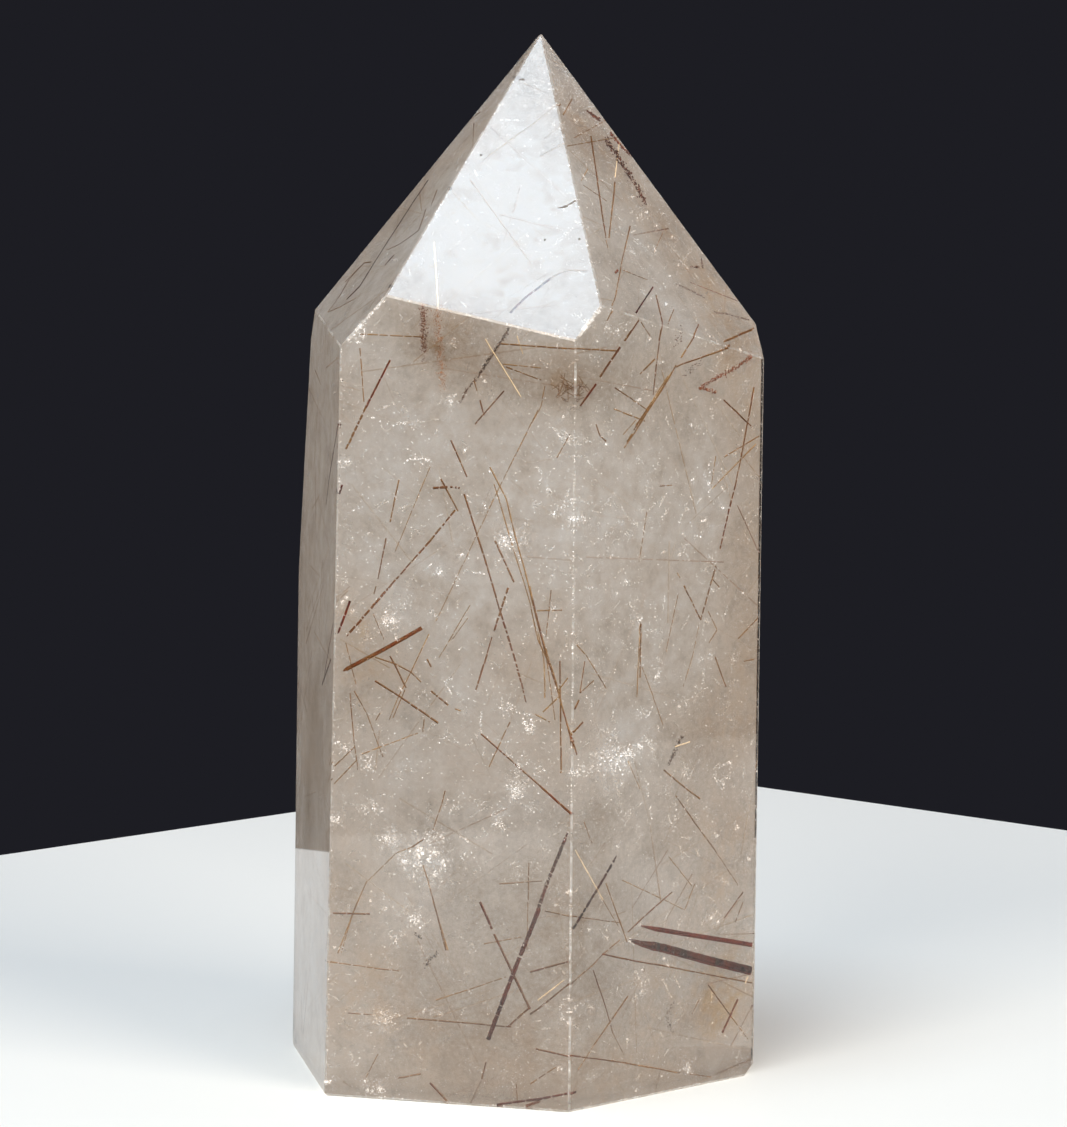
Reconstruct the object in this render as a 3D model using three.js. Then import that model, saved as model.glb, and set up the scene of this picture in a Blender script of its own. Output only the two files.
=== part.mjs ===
// Golden rutilated quartz tower: one milky champagne crystal ground and polished into a six-sided
// prism, sawn flat at the base and closed above by six facets that meet in a point.
// Millimetres, +Z up. The origin is in the middle of the flat base, on the surface that the tower
// stands on. The two broad front faces look towards -Y, one a little left of it and one to its right.
import * as THREE from "three";
import { ConvexGeometry } from "three/addons/geometries/ConvexGeometry.js";

// Driving dimensions, in millimetres and degrees.
const tip = new THREE.Vector3(1.7, -0.8, 70);
const tipWear = 0.14;
const edgeBevel = 0.16;
const baseBevel = 0.26;

// Side faces, anticlockwise from the broad front left one. Each looks along an azimuth (0 is +X, -90
// is -Y), leans back from vertical, and meets the base at its distance from the origin. The base was
// sawn a little out of square with the prism, so the faces on the right lean out.
const sideFaces = [
  { looks: -107, lean: -0.4, distance: 14.15 },
  { looks: -48, lean: -0.7, distance: 14.15 },
  { looks: 14.5, lean: -0.4, distance: 14.4 },
  { looks: 73, lean: 0, distance: 14.25 },
  { looks: 133.5, lean: -0.7, distance: 14.1 },
  { looks: 191, lean: 1.3, distance: 14.45 },
];

// The narrow left face was polished twice: its back half falls away towards the shoulder.
const leftShoulder = { looks: 183, lean: 3.3, distance: 16.65 };

// The six facets of the point all pass through the tip. Each is turned a few degrees further round
// than the side face under it, so its lower edge drops to the right and turns up again past the
// corner. The lean is from vertical.
const topFacets = [
  { looks: -97.5, lean: 37.2 },
  { looks: -38, lean: 33.4 },
  { looks: 20, lean: 33.2 },
  { looks: 80.5, lean: 35 },
  { looks: 141, lean: 33.9 },
  { looks: 198, lean: 37.5 },
];

// Corners of the base that are knocked off: the side faces that meet there, by their places in
// sideFaces, and how deep the wear goes.
const wornCorners = [
  { faces: [1, 2], depth: 0.45 },
  { faces: [4, 5], depth: 0.3 },
  { faces: [2, 3], depth: 0.35 },
];

// Two planes closer to parallel than this have no edge between them.
const leastCross = 1e-6;
// How far outside a plane a corner may be and still count as on it.
const onPlane = 1e-6;
// Corners closer than this are one corner.
const samePlace = 2e-3;

const baseFace = new THREE.Plane(new THREE.Vector3(0, 0, -1), 0);

// The outward direction of a face that looks along an azimuth and leans back from vertical.
function faceNormal({ looks, lean }) {
  const azimuth = THREE.MathUtils.degToRad(looks);
  const tilt = THREE.MathUtils.degToRad(lean);
  return new THREE.Vector3(
    Math.cos(azimuth) * Math.cos(tilt),
    Math.sin(azimuth) * Math.cos(tilt),
    Math.sin(tilt),
  );
}

// A side face: it crosses the base at its distance from the origin.
function sidePlane(face) {
  const azimuth = THREE.MathUtils.degToRad(face.looks);
  const foot = new THREE.Vector3(Math.cos(azimuth), Math.sin(azimuth), 0).multiplyScalar(face.distance);
  return new THREE.Plane().setFromNormalAndCoplanarPoint(faceNormal(face), foot);
}

// A facet of the point: it passes through the tip.
function topPlane(facet) {
  return new THREE.Plane().setFromNormalAndCoplanarPoint(faceNormal(facet), tip);
}

// The point shared by three planes, or null where two of them never meet.
function meetingPoint(a, b, c) {
  const bc = new THREE.Vector3().crossVectors(b.normal, c.normal);
  const ca = new THREE.Vector3().crossVectors(c.normal, a.normal);
  const ab = new THREE.Vector3().crossVectors(a.normal, b.normal);
  const volume = a.normal.dot(bc);
  if (Math.abs(volume) < leastCross) return null;
  return bc
    .multiplyScalar(-a.constant)
    .addScaledVector(ca, -b.constant)
    .addScaledVector(ab, -c.constant)
    .divideScalar(volume);
}

// Every corner of the solid that the planes enclose.
function cornersInside(planes) {
  const corners = [];
  planes.forEach((a, i) => {
    planes.slice(i + 1).forEach((b, j) => {
      planes.slice(i + j + 2).forEach((c) => {
        const point = meetingPoint(a, b, c);
        if (!point) return;
        if (planes.some((plane) => plane.distanceToPoint(point) > onPlane)) return;
        if (corners.some((corner) => corner.distanceTo(point) < samePlace)) return;
        corners.push(point);
      });
    });
  });
  return corners;
}

// A plane that takes the edge off between two faces, leaving a flat of the given width.
function bevelPlane(a, b, edgePoint, width) {
  const normal = new THREE.Vector3().addVectors(a.normal, b.normal).normalize();
  const halfTurn = a.normal.angleTo(b.normal) / 2;
  const depth = (width / 2) * Math.tan(halfTurn);
  const cutPoint = edgePoint.clone().addScaledVector(normal, -depth);
  return new THREE.Plane().setFromNormalAndCoplanarPoint(normal, cutPoint);
}

function isOn(plane, corner) {
  return Math.abs(plane.distanceToPoint(corner)) < samePlace;
}

// One bevel for each edge of the solid that the planes enclose.
function bevelsOf(planes) {
  const corners = cornersInside(planes);
  const bevels = [];
  planes.forEach((a, i) => {
    planes.slice(i + 1).forEach((b) => {
      const ends = corners.filter((corner) => isOn(a, corner) && isOn(b, corner));
      if (ends.length < 2) return;
      const isBase = a === baseFace || b === baseFace;
      bevels.push(bevelPlane(a, b, ends[0], isBase ? baseBevel : edgeBevel));
    });
  });
  return bevels;
}

// A plane that knocks off the corner where two side faces meet the base.
function wornCornerPlane({ faces, depth }) {
  const [a, b] = faces.map((index) => sidePlane(sideFaces[index]));
  const corner = meetingPoint(a, b, baseFace);
  const normal = new THREE.Vector3().addVectors(a.normal, b.normal).add(baseFace.normal).normalize();
  return new THREE.Plane().setFromNormalAndCoplanarPoint(normal, corner.addScaledVector(normal, -depth));
}

// The flat left by wear on the very tip.
function wornTipPlane() {
  const top = tip.clone().setZ(tip.z - tipWear);
  return new THREE.Plane().setFromNormalAndCoplanarPoint(new THREE.Vector3(0, 0, 1), top);
}

function quartzTowerGeometry() {
  const faces = [
    baseFace,
    ...sideFaces.map(sidePlane),
    sidePlane(leftShoulder),
    ...topFacets.map(topPlane),
  ];
  const wear = [...bevelsOf(faces), ...wornCorners.map(wornCornerPlane), wornTipPlane()];
  return new ConvexGeometry(cornersInside([...faces, ...wear]));
}

// Polished milky quartz, pale smoky champagne.
const polishedQuartz = new THREE.MeshStandardMaterial({
  color: "#b5a99d",
  roughness: 0.08,
  metalness: 0,
  transparent: true,
  opacity: 0.85,
});

const quartzTower = new THREE.Mesh(quartzTowerGeometry(), polishedQuartz);
quartzTower.name = "quartz_tower";

const tower = new THREE.Group();
tower.add(quartzTower);

export default tower;
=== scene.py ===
import math
import random

import bmesh
import bpy
from mathutils import Matrix, Vector, noise
from mathutils.bvhtree import BVHTree


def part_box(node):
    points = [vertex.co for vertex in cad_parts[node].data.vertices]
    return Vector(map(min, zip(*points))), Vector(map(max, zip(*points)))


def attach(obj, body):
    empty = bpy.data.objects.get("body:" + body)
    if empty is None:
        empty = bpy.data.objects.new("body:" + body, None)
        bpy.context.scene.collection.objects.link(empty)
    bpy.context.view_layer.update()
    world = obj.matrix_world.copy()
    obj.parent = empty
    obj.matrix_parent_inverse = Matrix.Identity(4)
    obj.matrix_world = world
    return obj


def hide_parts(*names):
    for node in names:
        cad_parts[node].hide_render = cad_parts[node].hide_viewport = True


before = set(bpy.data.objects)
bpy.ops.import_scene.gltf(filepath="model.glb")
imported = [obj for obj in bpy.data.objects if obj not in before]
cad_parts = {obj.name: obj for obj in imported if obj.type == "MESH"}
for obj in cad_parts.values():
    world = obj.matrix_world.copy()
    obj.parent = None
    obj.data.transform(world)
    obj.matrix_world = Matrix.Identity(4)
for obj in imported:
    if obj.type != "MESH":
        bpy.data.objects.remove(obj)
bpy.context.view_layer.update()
scene = bpy.context.scene
mm = 0.001

# The photograph's view. Pixels below are its own, counted from its top left corner, and pixelSize
# is how much of the stone one of them shows.
photo = {
    "width": 1067,
    "height": 1127,
    "focalPixels": 4126,
    "pixelSize": 0.065 * mm,
    "distance": 280 * mm,
    "elevation": math.radians(5.476),
    "aim": Vector((1.2 * mm, 0, 34.27 * mm)),
    "sensor": 36.0,
    "clip": (0.01, 20),
}
sameSpot = 0.001 * mm  # corners of the solid this close together are one corner
sameFlat = math.radians(0.5)  # and faces this nearly level are one face


def linear(hexColour):
    # An sRGB hex colour as Blender's linear numbers.
    out = []
    for start in (1, 3, 5):
        value = int(hexColour[start:start + 2], 16) / 255
        out.append(value / 12.92 if value <= 0.04045 else ((value + 0.055) / 1.055) ** 2.4)
    return (*out, 1.0)


def addNode(tree, kind, inputs=None, **settings):
    # A node with its settings, and its inputs set to values or linked to sockets. A node as an input
    # stands for its first output.
    node = tree.nodes.new(kind)
    for name, value in settings.items():
        setattr(node, name, value)
    for key, value in (inputs or {}).items():
        if isinstance(value, bpy.types.Node):
            value = value.outputs[0]
        if isinstance(value, bpy.types.NodeSocket):
            tree.links.new(value, node.inputs[key])
        else:
            node.inputs[key].default_value = value
    return node


def newMaterial(name):
    # An empty material and its tree.
    material = bpy.data.materials.new(name)
    material.use_nodes = True
    material.node_tree.nodes.clear()
    return material, material.node_tree


def mottling(tree, place, look):
    # Noise with blotches of a real size, its greys spread over a range of values.
    blotches = addNode(tree, "ShaderNodeTexNoise", {
        "Vector": place.outputs["Object"], "Scale": 1 / look["size"], "Detail": look["detail"],
        "Roughness": look.get("roughness", 0.5)})
    spread = addNode(tree, "ShaderNodeMapRange", {
        "Value": blotches, "From Min": look["greys"][0], "From Max": look["greys"][1],
        "To Min": look["values"][0], "To Max": look["values"][1]})
    return spread


def spreadColours(ramp, colours):
    # The stops of a colour ramp, at even steps.
    stops = ramp.color_ramp.elements
    while len(stops) < len(colours):
        stops.new(0.5)
    for index, colour in enumerate(colours):
        stops[index].position = index / (len(colours) - 1)
        stops[index].color = linear(colour)


def newObject(name, data):
    # An object in the scene.
    thing = bpy.data.objects.new(name, data)
    scene.collection.objects.link(thing)
    return thing


def plainMesh(name, shape):
    # The finished mesh of a shape.
    mesh = bpy.data.meshes.new(name)
    shape.to_mesh(mesh)
    shape.free()
    return mesh


def newShape(layer):
    # An empty shape whose faces each hold a number of that name.
    shape = bmesh.new()
    shape.faces.layers.float.new(layer)
    return shape


def newPiece(name, mesh, material):
    # A finished piece of the stone: it rides on the body and wears the given material, if any.
    piece = newObject(name, mesh)
    if material is not None:
        mesh.materials.clear()
        mesh.materials.append(material)
    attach(piece, "root")
    return piece


def eachPlace(rows):
    # The rows of a list below, each once for every place that it names.
    for row in rows:
        for x, y in row["at"]:
            yield row, x, y


def eachGrouped(groups):
    # The same for rows that are grouped by a number, with that number.
    for number, rows in groups.items():
        for row, x, y in eachPlace(rows):
            yield number, row, x, y


def anyWay(luck):
    # A random vector, from -1 to 1 along each axis.
    return Vector([luck.uniform(-1, 1) for axis in range(3)])


def clamped(tone):
    # Tones run from 0 to 1.
    return min(1.0, max(0.0, tone))


# Camera
def makeCamera():
    data = bpy.data.cameras.new("photoCamera")
    data.sensor_width = photo["sensor"]
    data.lens = photo["sensor"] * photo["focalPixels"] / photo["height"]
    data.clip_start, data.clip_end = photo["clip"]
    camera = newObject("photoCamera", data)
    elevation = photo["elevation"]
    back = Vector((0, -math.cos(elevation), math.sin(elevation)))
    camera.location = photo["aim"] + back * photo["distance"]
    camera.rotation_mode = "QUATERNION"
    camera.rotation_quaternion = (-back).to_track_quat("-Z", "Y")
    scene.camera = camera
    bpy.context.view_layer.update()
    return camera


camera = makeCamera()
scene.view_settings.view_transform = "Standard"
print("camera ready")


# The stone's own surface, for finding where things lie inside it.
def stoneShape():
    shape = bmesh.new()
    shape.from_mesh(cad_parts["quartz_tower"].data)
    bmesh.ops.remove_doubles(shape, verts=shape.verts, dist=sameSpot)
    return shape


def surfaceTree():
    shape = stoneShape()
    tree = BVHTree.FromBMesh(shape)
    shape.free()
    return tree


stoneSurface = surfaceTree()
quartzIor = 1.544
# Behind a face: where a bent ray starts, the least depth, and the room left to the face behind.
behindFace = {"start": 0.01 * mm, "least": 0.1 * mm, "room": 0.3 * mm}


def photoRay(x, y):
    # The way that the camera looks at a pixel of the photograph.
    right = (x - photo["width"] / 2) / photo["focalPixels"]
    up = (photo["height"] / 2 - y) / photo["focalPixels"]
    way = camera.matrix_world.to_3x3() @ Vector((right, up, -1))
    return way.normalized()


def bentRay(way, normal):
    # The way a ray goes on inside the stone.
    ratio = 1 / quartzIor
    facing = -normal.dot(way)
    inner = math.sqrt(1 - ratio * ratio * (1 - facing * facing))
    return (way * ratio + normal * (ratio * facing - inner)).normalized()


def insidePoint(x, y, depth):
    # The point inside the stone that shows at a pixel, that far behind the face.
    way = photoRay(x, y)
    hit, normal, index, distance = stoneSurface.ray_cast(camera.location, way)
    if hit is None:
        return None
    inner = bentRay(way, normal)
    far = stoneSurface.ray_cast(hit + inner * behindFace["start"], inner)
    reach = far[3] if far[0] is not None else depth
    return hit + inner * max(min(depth, reach - behindFace["room"]), behindFace["least"])


def depthInside(place):
    # How far a place is under the stone's surface, below zero where it is outside.
    nearest, normal, index, distance = stoneSurface.find_nearest(place)
    return distance if normal.dot(place - nearest) < 0 else -distance


# Stage
stageSettings = {
    "floorSide": 220 * mm,
    "floorThickness": 18 * mm,
    "floorGap": 0.02 * mm,
    "floorBack": Vector((9 * mm, 140.4 * mm, 0)),
    "floorColour": "#e6e6e0",
    "floorRoughness": 0.55,
    "shadeColour": "#6a6866",
    "shadePerMetre": 360.0,
    "shadeInset": 0.98,
    "worldColour": "#dfe0ff",
    "worldRise": (0.35, 0.8),
    "worldStrength": (0.0166, 0.3),
}
facetMiddle = Vector((-1.5 * mm, -9 * mm, 58 * mm))
bodyMiddle = Vector((0, 0, 30 * mm))
overheadWay = Vector((-0.17, -0.295, 0.941)).normalized()
lamps = {  # places and sizes in metres
    "overheadLight": {"place": facetMiddle + overheadWay * 0.60, "aim": facetMiddle, "size": 0.34,
                      "power": 10.0, "colour": "#d4e6f5"},
    "frontLight": {"place": Vector((-0.5, -0.9, 0.46)), "aim": bodyMiddle, "size": 0.6,
                   "power": 9.0, "colour": "#fff3e6"},
    "sideLight": {"place": Vector((0.75, -0.7, 0.35)), "aim": bodyMiddle, "size": 0.6,
                  "power": 12.4, "colour": "#fff3e6"},
    "leftBackLight": {"place": Vector((-0.30, 0.72, 0.0)), "aim": bodyMiddle, "size": 0.35,
                      "power": 0.08, "colour": "#ffe6cc"},
}


def makeFloor():
    # A square slab with one corner to the back, as the edges behind the stone run.
    s = stageSettings
    slab = bmesh.new()
    bmesh.ops.create_cube(slab, size=1)
    bmesh.ops.scale(slab, vec=(s["floorSide"], s["floorSide"], s["floorThickness"]), verts=slab.verts)
    bmesh.ops.rotate(slab, matrix=Matrix.Rotation(math.radians(45), 3, "Z"), verts=slab.verts)
    drop = Vector((0, s["floorSide"] / math.sqrt(2), s["floorThickness"] / 2 + s["floorGap"]))
    bmesh.ops.translate(slab, vec=s["floorBack"] - drop, verts=slab.verts)
    floor = newObject("floor", plainMesh("floor", slab))
    material, tree = newMaterial("paintedFloor")
    shader = addNode(tree, "ShaderNodeBsdfPrincipled",
                     {"Base Color": linear(s["floorColour"]), "Roughness": s["floorRoughness"]})
    addNode(tree, "ShaderNodeOutputMaterial", {"Surface": shader})
    floor.data.materials.append(material)


def makeSoftLight(name, lamp):
    # A square soft light of a given brightness.
    data = bpy.data.lights.new(name, "AREA")
    data.shape = "SQUARE"
    data.size = lamp["size"]
    data.energy = lamp["power"] * lamp["size"] ** 2 * math.pi
    data.color = linear(lamp["colour"])[:3]
    light = newObject(name, data)
    light.location = lamp["place"]
    light.rotation_mode = "QUATERNION"
    light.rotation_quaternion = (lamp["aim"] - lamp["place"]).to_track_quat("-Z", "Y")


def makeWorld():
    # A sky that is dark low down and lighter overhead.
    s = stageSettings
    world = bpy.data.worlds.new("studio")
    world.use_nodes = True
    tree = world.node_tree
    tree.nodes.clear()
    place = addNode(tree, "ShaderNodeTexCoord")
    parts = addNode(tree, "ShaderNodeSeparateXYZ", {0: place.outputs["Generated"]})
    rise = addNode(tree, "ShaderNodeMapRange", {
        "Value": parts.outputs["Z"], "From Min": s["worldRise"][0], "From Max": s["worldRise"][1],
        "To Min": s["worldStrength"][0], "To Max": s["worldStrength"][1]}, interpolation_type="SMOOTHSTEP")
    sky = addNode(tree, "ShaderNodeBackground", {"Color": linear(s["worldColour"]), "Strength": rise})
    addNode(tree, "ShaderNodeOutputWorld", {"Surface": sky})
    scene.world = world


makeFloor()
makeWorld()
for lampName, lamp in lamps.items():
    makeSoftLight(lampName, lamp)
print("stage ready")

# Polished milky quartz: clear silica that thousands of tiny bubbles and cracks make pale, tinted
# champagne by traces of smoke. Ground and polished to a mirror, so its faces flash and bend light,
# and its edges are rubbed a little whiter and duller than its faces.
quartzSettings = {
    "mottles": ["#8a765f", "#ded4ca", "#ffffff"],
    "fineMottle": 0.3 * mm,
    "fineShare": 0.6,
    "broadMottle": 1.3 * mm,
    "zones": {"size": 6 * mm, "detail": 3.0, "greys": (0.3, 0.7), "values": (0.36, 0.64)},
    "ironStain": "#dfb98a",
    "cell": 1.5 * mm,
    "driftDepth": 0.5 * mm,
    "edge": "#f4efe9",
    "edgeChips": {"size": 1.1 * mm, "detail": 3.0, "greys": (0.42, 0.56), "values": (0, 1)},
    "edgeRoughness": 0.3,
    "polish": {"size": 9 * mm, "detail": 3.0, "greys": (0.35, 0.7), "values": (0.025, 0.055)},
    "veilShare": 0.012,
    "veilDepth": 6 * mm,
    "absorption": "#d3c8b9",
    "absorptionPerMetre": 42.0,
    "bevelWidth": 0.6 * mm,
}

# Drifts that show from the front, by how much milkier (above 0) or smokier (below 0) than elsewhere
# the quartz is there, with their middle in pixels and their width as a real size.
drifts = {
    -0.24: [{"across": 12 * mm, "at": [(315, 770)]}],
    -0.22: [{"across": 8 * mm, "at": [(309, 830)]}],
    -0.2: [{"across": 6 * mm, "at": [(430, 330), (730, 335)]}, {"across": 7 * mm, "at": [(475, 345),
           (602, 368)]}],
    -0.18: [{"across": 6 * mm, "at": [(655, 230)]}, {"across": 7 * mm, "at": [(426, 866)]}],
    -0.16: [{"across": 4 * mm, "at": [(565, 385)]}, {"across": 5 * mm, "at": [(402, 222), (352, 290)]},
            {"across": 6 * mm, "at": [(565, 390), (505, 395)]}, {"across": 7 * mm, "at": [(600, 235)]},
            {"across": 8 * mm, "at": [(540, 362), (690, 1030)]},
            {"across": 10 * mm, "at": [(505, 1055)]}, {"across": 16 * mm, "at": [(560, 895)]}],
    -0.12: [{"across": 5 * mm, "at": [(665, 215)]}, {"across": 6 * mm, "at": [(650, 335)]},
            {"across": 7 * mm, "at": [(340, 900), (590, 820)]}, {"across": 8 * mm, "at": [(675, 820),
            (550, 960), (572, 895), (572, 975), (572, 1050), (426, 852), (534, 850), (606, 292),
            (426, 204), (498, 1000)]}, {"across": 10 * mm, "at": [(605, 1045), (313, 690)]}],
    -0.1: [{"across": 5 * mm, "at": [(585, 150)]}, {"across": 12 * mm, "at": [(690, 980)]},
           {"across": 14 * mm, "at": [(450, 960), (640, 900), (380, 1000), (560, 1050)]}],
    -0.08: [{"across": 6 * mm, "at": [(600, 150)]}, {"across": 8 * mm, "at": [(606, 785), (408, 316)]},
            {"across": 10 * mm, "at": [(690, 705), (715, 765), (400, 700), (612, 925), (420, 1005)]}],
    -0.06: [{"across": 3 * mm, "at": [(427, 335), (443, 345)]}, {"across": 5 * mm, "at": [(380, 640)]},
            {"across": 7 * mm, "at": [(352, 640)]}],
    -0.04: [{"across": 5 * mm, "at": [(566, 112)]}, {"across": 6 * mm, "at": [(625, 640)]}],
    0.08: [{"across": 4 * mm, "at": [(642, 975), (575, 168), (572, 384)]},
           {"across": 5 * mm, "at": [(712, 1010)]}, {"across": 7 * mm, "at": [(380, 480), (370, 745),
           (430, 765), (542, 768), (480, 815), (400, 905)]}, {"across": 14 * mm, "at": [(480, 520),
           (640, 520)]}],
    0.1: [{"across": 8 * mm, "at": [(400, 560), (462, 545), (498, 600), (714, 615), (714, 456),
          (712, 285), (712, 1000), (352, 655), (534, 618), (354, 605), (712, 1062), (340, 1032),
          (702, 500), (500, 732), (602, 755)]}, {"across": 6 * mm, "at": [(640, 742)]},
          {"across": 14 * mm, "at": [(650, 660)]}],
    0.12: [{"across": 3 * mm, "at": [(512, 715), (512, 795)]}, {"across": 4 * mm, "at": [(430, 862)]},
           {"across": 6 * mm, "at": [(640, 240), (652, 290)]}, {"across": 7 * mm, "at": [(435, 420)]},
           {"across": 8 * mm, "at": [(480, 440), (622, 480), (520, 540), (595, 560), (425, 855)]},
           {"across": 10 * mm, "at": [(560, 470)]}, {"across": 14 * mm, "at": [(470, 640)]}],
    0.16: [{"across": 5 * mm, "at": [(618, 760)]}],
    0.24: [{"across": 10 * mm, "at": [(450, 270)]}],
    0.28: [{"across": 3 * mm, "at": [(571, 519)]}],
    0.3: [{"across": 12 * mm, "at": [(480, 165)]}],
    0.34: [{"across": 14 * mm, "at": [(510, 240)]}],
}

# Where iron has stained the quartz warmer, by how much.
ironStains = {
    0.1: [{"across": 6 * mm, "at": [(612, 460), (600, 560)]}],
    0.15: [{"across": 6 * mm, "at": [(500, 560)]}, {"across": 8 * mm, "at": [(350, 800)]}],
    0.2: [{"across": 8 * mm, "at": [(480, 760), (520, 690), (535, 640), (660, 380), (350, 400)]},
          {"across": 10 * mm, "at": [(700, 860)]}, {"across": 12 * mm, "at": [(700, 760), (430, 980),
          (480, 1060), (390, 1050), (700, 945), (570, 930)]}],
    0.25: [{"across": 5 * mm, "at": [(548, 380), (566, 372)]}, {"across": 6 * mm, "at": [(350, 590),
           (430, 325)]}, {"across": 8 * mm, "at": [(370, 250), (350, 748), (566, 750), (650, 962),
           (714, 965)]}],
    0.3: [{"across": 6 * mm, "at": [(566, 112)]}, {"across": 8 * mm, "at": [(350, 640), (385, 665),
          (752, 540), (470, 350), (420, 185)]}, {"across": 9 * mm, "at": [(745, 620), (345, 880)]},
          {"across": 10 * mm, "at": [(740, 700), (740, 850)]}, {"across": 12 * mm, "at": [(650, 1050),
          (560, 1060)]}],
    0.35: [{"across": 6 * mm, "at": [(712, 1010)]}, {"across": 8 * mm, "at": [(600, 150), (640, 205),
           (750, 450), (472, 140)]}, {"across": 9 * mm, "at": [(690, 260)]},
           {"across": 10 * mm, "at": [(340, 980)]}],
    0.4: [{"across": 9 * mm, "at": [(735, 370)]}],
    0.45: [{"across": 9 * mm, "at": [(725, 310), (735, 1000)]}],
}


def quartzMaterial():
    s = quartzSettings
    material, tree = newMaterial("polishedMilkyQuartz")
    place = addNode(tree, "ShaderNodeTexCoord")
    wear = addNode(tree, "ShaderNodeAttribute", attribute_name="edgeWear")
    drift = addNode(tree, "ShaderNodeAttribute", attribute_name="drift")
    iron = addNode(tree, "ShaderNodeAttribute", attribute_name="iron")
    worn = addNode(tree, "ShaderNodeMath", {
        0: wear.outputs["Fac"], 1: mottling(tree, place, s["edgeChips"])}, operation="MULTIPLY")
    rough = addNode(tree, "ShaderNodeMapRange", {
        "Value": worn, "To Min": mottling(tree, place, s["polish"]),
        "To Max": s["edgeRoughness"]})
    fine = addNode(tree, "ShaderNodeTexNoise", {
        "Vector": place.outputs["Object"], "Scale": 1 / s["fineMottle"], "Detail": 5.0, "Roughness": 0.7})
    broad = addNode(tree, "ShaderNodeTexNoise", {
        "Vector": place.outputs["Object"], "Scale": 1 / s["broadMottle"], "Detail": 4.0})
    both = addNode(tree, "ShaderNodeMath", {0: fine, 1: s["fineShare"], 2: broad}, operation="MULTIPLY_ADD")
    spread = addNode(tree, "ShaderNodeMapRange", {
        "Value": both, "From Min": 0.45, "From Max": 1.15, "To Min": -0.26, "To Max": 0.26})
    ragged = addNode(tree, "ShaderNodeMapRange", {
        "Value": broad, "From Min": 0.3, "From Max": 0.7, "To Min": 0.4, "To Max": 1.6})
    torn = addNode(tree, "ShaderNodeMath", {0: drift.outputs["Fac"], 1: ragged}, operation="MULTIPLY")
    milky = addNode(tree, "ShaderNodeMath", {0: spread, 1: torn}, operation="ADD")
    total = addNode(tree, "ShaderNodeMath",
                    {0: milky, 1: mottling(tree, place, s["zones"])}, operation="ADD")
    ramp = addNode(tree, "ShaderNodeValToRGB", {"Fac": total})
    spreadColours(ramp, s["mottles"])
    stained = addNode(tree, "ShaderNodeMath",
                      {0: iron.outputs["Fac"], 1: ragged}, operation="MULTIPLY", use_clamp=True)
    warm = addNode(tree, "ShaderNodeMix", {
        0: stained, 6: ramp, 7: linear(s["ironStain"])},
        data_type="RGBA", blend_type="MULTIPLY")
    tint = addNode(tree, "ShaderNodeMix", {
        0: worn, 6: warm.outputs[2], 7: linear(s["edge"])}, data_type="RGBA")
    shader = addNode(tree, "ShaderNodeBsdfPrincipled", {
        "Base Color": tint.outputs[2],
        "Roughness": rough,
        "IOR": quartzIor,
        "Transmission Weight": 1 - s["veilShare"],
        "Subsurface Weight": 1.0,
        "Subsurface Scale": s["veilDepth"],
        "Subsurface Radius": (1.0, 0.9, 0.8),
    })
    inside = addNode(tree, "ShaderNodeVolumeAbsorption",
                     {"Color": linear(s["absorption"]), "Density": s["absorptionPerMetre"]})
    addNode(tree, "ShaderNodeOutputMaterial", {"Surface": shader, "Volume": inside})
    return material


def isBevel(face):
    # A face that is only a worn strip or corner between the polished ones.
    longest = max(edge.calc_length() for edge in face.edges)
    return face.calc_area() / longest < quartzSettings["bevelWidth"]


def paintDrifts(mesh):
    # The faces are cut into small cells, so that their corners can hold how milky the stone is there.
    s = quartzSettings
    low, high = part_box("quartz_tower")
    for axis in range(3):
        way = Vector([float(k == axis) for k in range(3)])
        for number in range(1, math.ceil((high[axis] - low[axis]) / s["cell"])):
            bmesh.ops.bisect_plane(mesh, geom=mesh.verts[:] + mesh.edges[:] + mesh.faces[:],
                                   plane_co=way * (low[axis] + number * s["cell"]), plane_no=way)
    for name, groups in (("drift", drifts), ("iron", ironStains)):
        layer = mesh.verts.layers.float.new(name)
        for strength, spot, x, y in eachGrouped(groups):
            middle = insidePoint(x, y, s["driftDepth"])
            for corner in mesh.verts:
                away = (corner.co - middle).length / (spot["across"] / 2)
                if away < 1:
                    corner[layer] += strength * (1 - away * away)


def makeStone():
    mesh = stoneShape()
    bmesh.ops.dissolve_limit(mesh, angle_limit=sameFlat, verts=mesh.verts, edges=mesh.edges)
    worn = mesh.faces.layers.float.new("edgeWear")
    for face in mesh.faces:
        face[worn] = 1.0 if isBevel(face) else 0.0
    ridges = [[corner.co.copy() for corner in face.verts] for face in mesh.faces if face[worn] > 0]
    paintDrifts(mesh)
    stone = newPiece("polished_stone", plainMesh("polishedStone", mesh), quartzMaterial())
    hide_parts("quartz_tower")
    stone.visible_shadow = False  # the lamps reach what lies inside
    return ridges


ridges = makeStone()
print("stone ready", len(ridges), "worn edges")

# Pieces grown by Geometry Nodes
socketKinds = {int: "NodeSocketInt", float: "NodeSocketFloat", tuple: "NodeSocketVector",
               bpy.types.Object: "NodeSocketObject", bpy.types.Material: "NodeSocketMaterial"}


def newTree(name, values):
    # A Geometry Nodes tree with a named input for each of the values.
    tree = bpy.data.node_groups.new(name, "GeometryNodeTree")
    tree.interface.new_socket("Geometry", in_out="OUTPUT", socket_type="NodeSocketGeometry")
    for label, value in values.items():
        tree.interface.new_socket(label, in_out="INPUT", socket_type=socketKinds[type(value)])
    start = tree.nodes.new("NodeGroupInput")
    end = tree.nodes.new("NodeGroupOutput")
    return tree, start, end


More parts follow.
